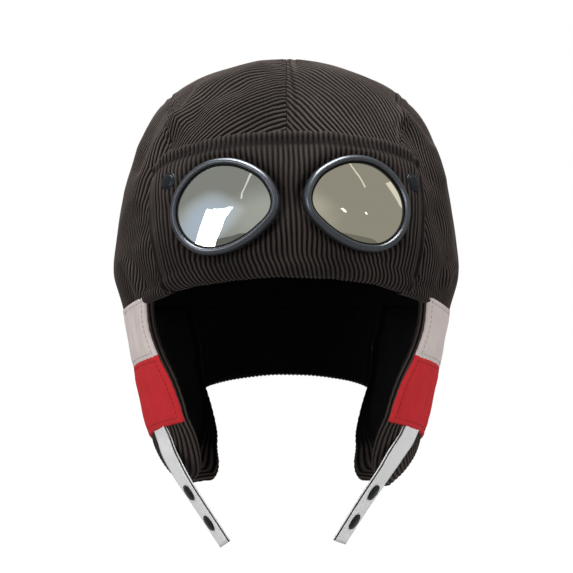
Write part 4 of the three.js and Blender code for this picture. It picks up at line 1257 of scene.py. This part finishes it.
def stitch_row(name, place, width, length):
    """Stitches round a patch, each a small rounded length of thread that lies on the cloth."""
    u = np.arange(STITCH_INSET, width - STITCH_INSET, STITCH_STEP)
    v = np.arange(STITCH_INSET, length - STITCH_INSET, STITCH_STEP)
    low, high = STITCH_INSET + 0 * v, width - STITCH_INSET + 0 * v
    near, far = STITCH_INSET + 0 * u, length - STITCH_INSET + 0 * u
    spots = np.concatenate([np.stack(side, -1) for side in ((low, v), (high, v), (u, near), (u, far))])
    ways = np.concatenate([np.tile((0.0, 1.0), (2 * len(v), 1)), np.tile((1.0, 0.0), (2 * len(u), 1))])
    middles, normals = place(spots)
    along = unit(place(spots + 0.5 * ways)[0] - place(spots - 0.5 * ways)[0])
    across = unit(np.cross(normals, along))
    sewn = bmesh.new()
    for middle, way, side, normal in zip(middles, along, across, normals):
        turn = Matrix(np.stack([side, np.cross(way, side), way], -1).tolist()).to_4x4()
        size = Matrix.Diagonal((STITCH_RADIUS / 1000, STITCH_RADIUS / 1000, STITCH_LENGTH / 2000, 1))
        spot = Matrix.Translation((middle + 0.1 * normal) / 1000)
        bmesh.ops.create_uvsphere(sewn, u_segments=6, v_segments=5, radius=1, matrix=spot @ turn @ size)
    mesh = bpy.data.meshes.new(name)
    sewn.to_mesh(mesh)
    sewn.free()
    mesh.uv_layers.new(name="cloth")
    return new_piece(name, mesh)


for name, sign in SIDES.items():
    for colour, upper, lower, cloth_colour in (("white", CROWN_LINE, COLOUR_LINE, white_nylon),
                                               ("red", COLOUR_LINE, LOWER_LINE, red_nylon)):
        points, normals = patch_cage(sign, upper, lower)
        size = mean_size(points)
        surface = on_cage(points, normals, *size)

        def place(flat):
            spots, normals, u, v = on_turned(surface, flat, size, PATCH_EDGE)
            inset = u + 1.6
            drop = FLAP_EDGE * (1 - np.sqrt(1 - ramp(1 - inset / FLAP_EDGE) ** 2))
            edge = edge_distance(u, v, *size)
            groove = -0.22 * bell(edge - 2.4, 0.6)
            wave = np.sin(u * 0.36 + 0.9 * np.sin(v * 0.16 + sign) + sign) + 0.6 * np.sin(u * 0.81 - v * 0.11)
            fold = 0.42 * wave * ramp(edge / 6) + 0.12 * np.sin((u + v) * 1.3) * near_edge(edge, 5)
            lift = PATCH_LIFT - drop + groove + fold
            return spots + normals * lift[:, None], normals

        width, length = (turned_length(side, PATCH_EDGE) for side in size)
        grid = cloth_grid(edge_rows(width, PATCH_EDGE, 0.9), edge_rows(length, PATCH_EDGE, 1.2))
        patch = lay_cloth(f"patch_{colour}_{name}_cloth", grid, place, wall=0.45)
        dress(patch, cloth_colour, f"patch_{colour}_{name}")
        stitches = stitch_row(f"stitches_{colour}_{name}", place, width, length)
        dress(stitches, thread_colours[colour], f"patch_{colour}_{name}")

# The chin straps: two plies of pale reflective webbing with a black core between them. Each comes out from
# under the red patch, where it is sewn into the flap, and hangs free to a plain cut end.
STRAP_WIDTH = 19
# x, y, z and turn in degrees, of the middle of each strap
STRAP_ROWS = {
    "left": np.array([
        (71.4, -38, -73, 20), (69.5, -38, -80, 20), (66.9, -38.5, -86.5, 21.5), (65.4, -39, -91.5, 23),
        (63.2, -40, -99, 24), (59.2, -41, -107.5, 23), (53.3, -42, -117.3, 21), (46.4, -43, -127.6, 20),
        (33, -45, -147.8, 20),
    ]),
    "right": np.array([
        (71, -39, -73, 25), (68.5, -40, -80, 26), (65.6, -42, -86.5, 27), (63.3, -44, -91.5, 28),
        (58.6, -47, -99, 27), (53.5, -49, -107.5, 24), (47.3, -50, -116.6, 23), (40.7, -50.3, -126.4, 22),
        (28.3, -50.5, -146, 21),
    ]),
}
STRAP_LENGTH = 86.0
STRAP_RISE = 1.4
webbing = woven_cloth("pale_webbing", (0.74, 0.74, 0.74), (0.87, 0.87, 0.87), 0.7, 0.00015,
                      Roughness=0.6, Specular_IOR_Level=0.2)


def strap_frame(name, sign, share):
    """Middle of the strap, and the directions along it, across it and out of its face."""
    def at(s):
        return smooth_rows(STRAP_ROWS[name], s)[..., :3] * [sign, 1, 1]

    along = unit(at(np.minimum(share + 0.01, 1)) - at(np.maximum(share - 0.01, 0)))
    plain = unit(np.stack([-along[..., 2], 0 * share, along[..., 0]], -1) * sign)
    turn = np.radians(smooth_rows(STRAP_ROWS[name], share)[..., 3:])
    across = unit(np.cross(along, plain * np.cos(turn) - np.sin(turn) * [0, 1, 0]))
    return at(share), along, across, unit(np.cross(across, along))


# Height of each ply, its thickness, and how far it lies towards the hat's middle
STRAP_PLIES = (
    ("face", 0.85, 0.62, -0.3, webbing, "white_webbing"),
    ("core", 0.2, 0.36, 0.3, black_lining, "lining"),
    ("backing", -0.2, 0.62, 0.6, webbing, "white_webbing"),
)
for name, sign in SIDES.items():
    for ply, top, wall, inwards, cloth_colour, slot_name in STRAP_PLIES:
        def place(flat):
            share = flat[:, 1] / STRAP_LENGTH
            centre, along, across, face = strap_frame(name, sign, share)
            # It comes up from under the patch and lies over the wales
            rise = STRAP_RISE * ramp((share - 0.05) / 0.055) * ramp((0.6 - share) / 0.35)
            sideways = flat[:, 0] - STRAP_WIDTH / 2 - sign * inwards * np.sign(across[:, 0])
            return centre + across * sideways[:, None] + face * (top + rise)[:, None], face

        grid = cloth_grid(np.linspace(0, STRAP_WIDTH, 13), np.linspace(0, STRAP_LENGTH, 73))
        strap = lay_cloth(f"chin_strap_{name}_{ply}", grid, place, wall=wall)
        dress(strap, cloth_colour, f"chin_strap_{name}")

# The strap snaps: two on each strap, each a dark cap with a thin bright rim, riveted through both plies
# to a plain socket behind.
STRAP_SNAP_PLACES = (0.78, 0.93)
# Radius and height of the rings, from the socket behind the strap to the cap on its face
STRAP_CAP = np.array([
    (0, -2.4), (3.9, -2.4), (4.2, -2.2), (4.2, -1.3), (1.8, -1.3), (1.8, 0.9), (4.4, 0.9), (4.7, 1.1),
    (4.7, 1.7), (4.4, 2.0), (3.9, 2.02), (3.75, 1.9), (3.4, 2.2), (2.2, 2.45), (0, 2.5),
])
for name, sign in SIDES.items():
    for number, share in enumerate(STRAP_SNAP_PLACES, 1):
        centre, along, across, face = (value[0] for value in strap_frame(name, sign, np.array([share])))

        def cap_shape(angle, level):
            radius, height = STRAP_CAP[level].T[..., None]
            ring = along * np.cos(angle)[:, None] + across * np.sin(angle)[:, None]
            return centre + ring * radius + face * height

        cap = ring_stack(f"strap_cap_{name}_{number}", 40, len(STRAP_CAP), cap_shape)
        dress(cap, snap_metal, f"strap_snap_{name}_{number}")
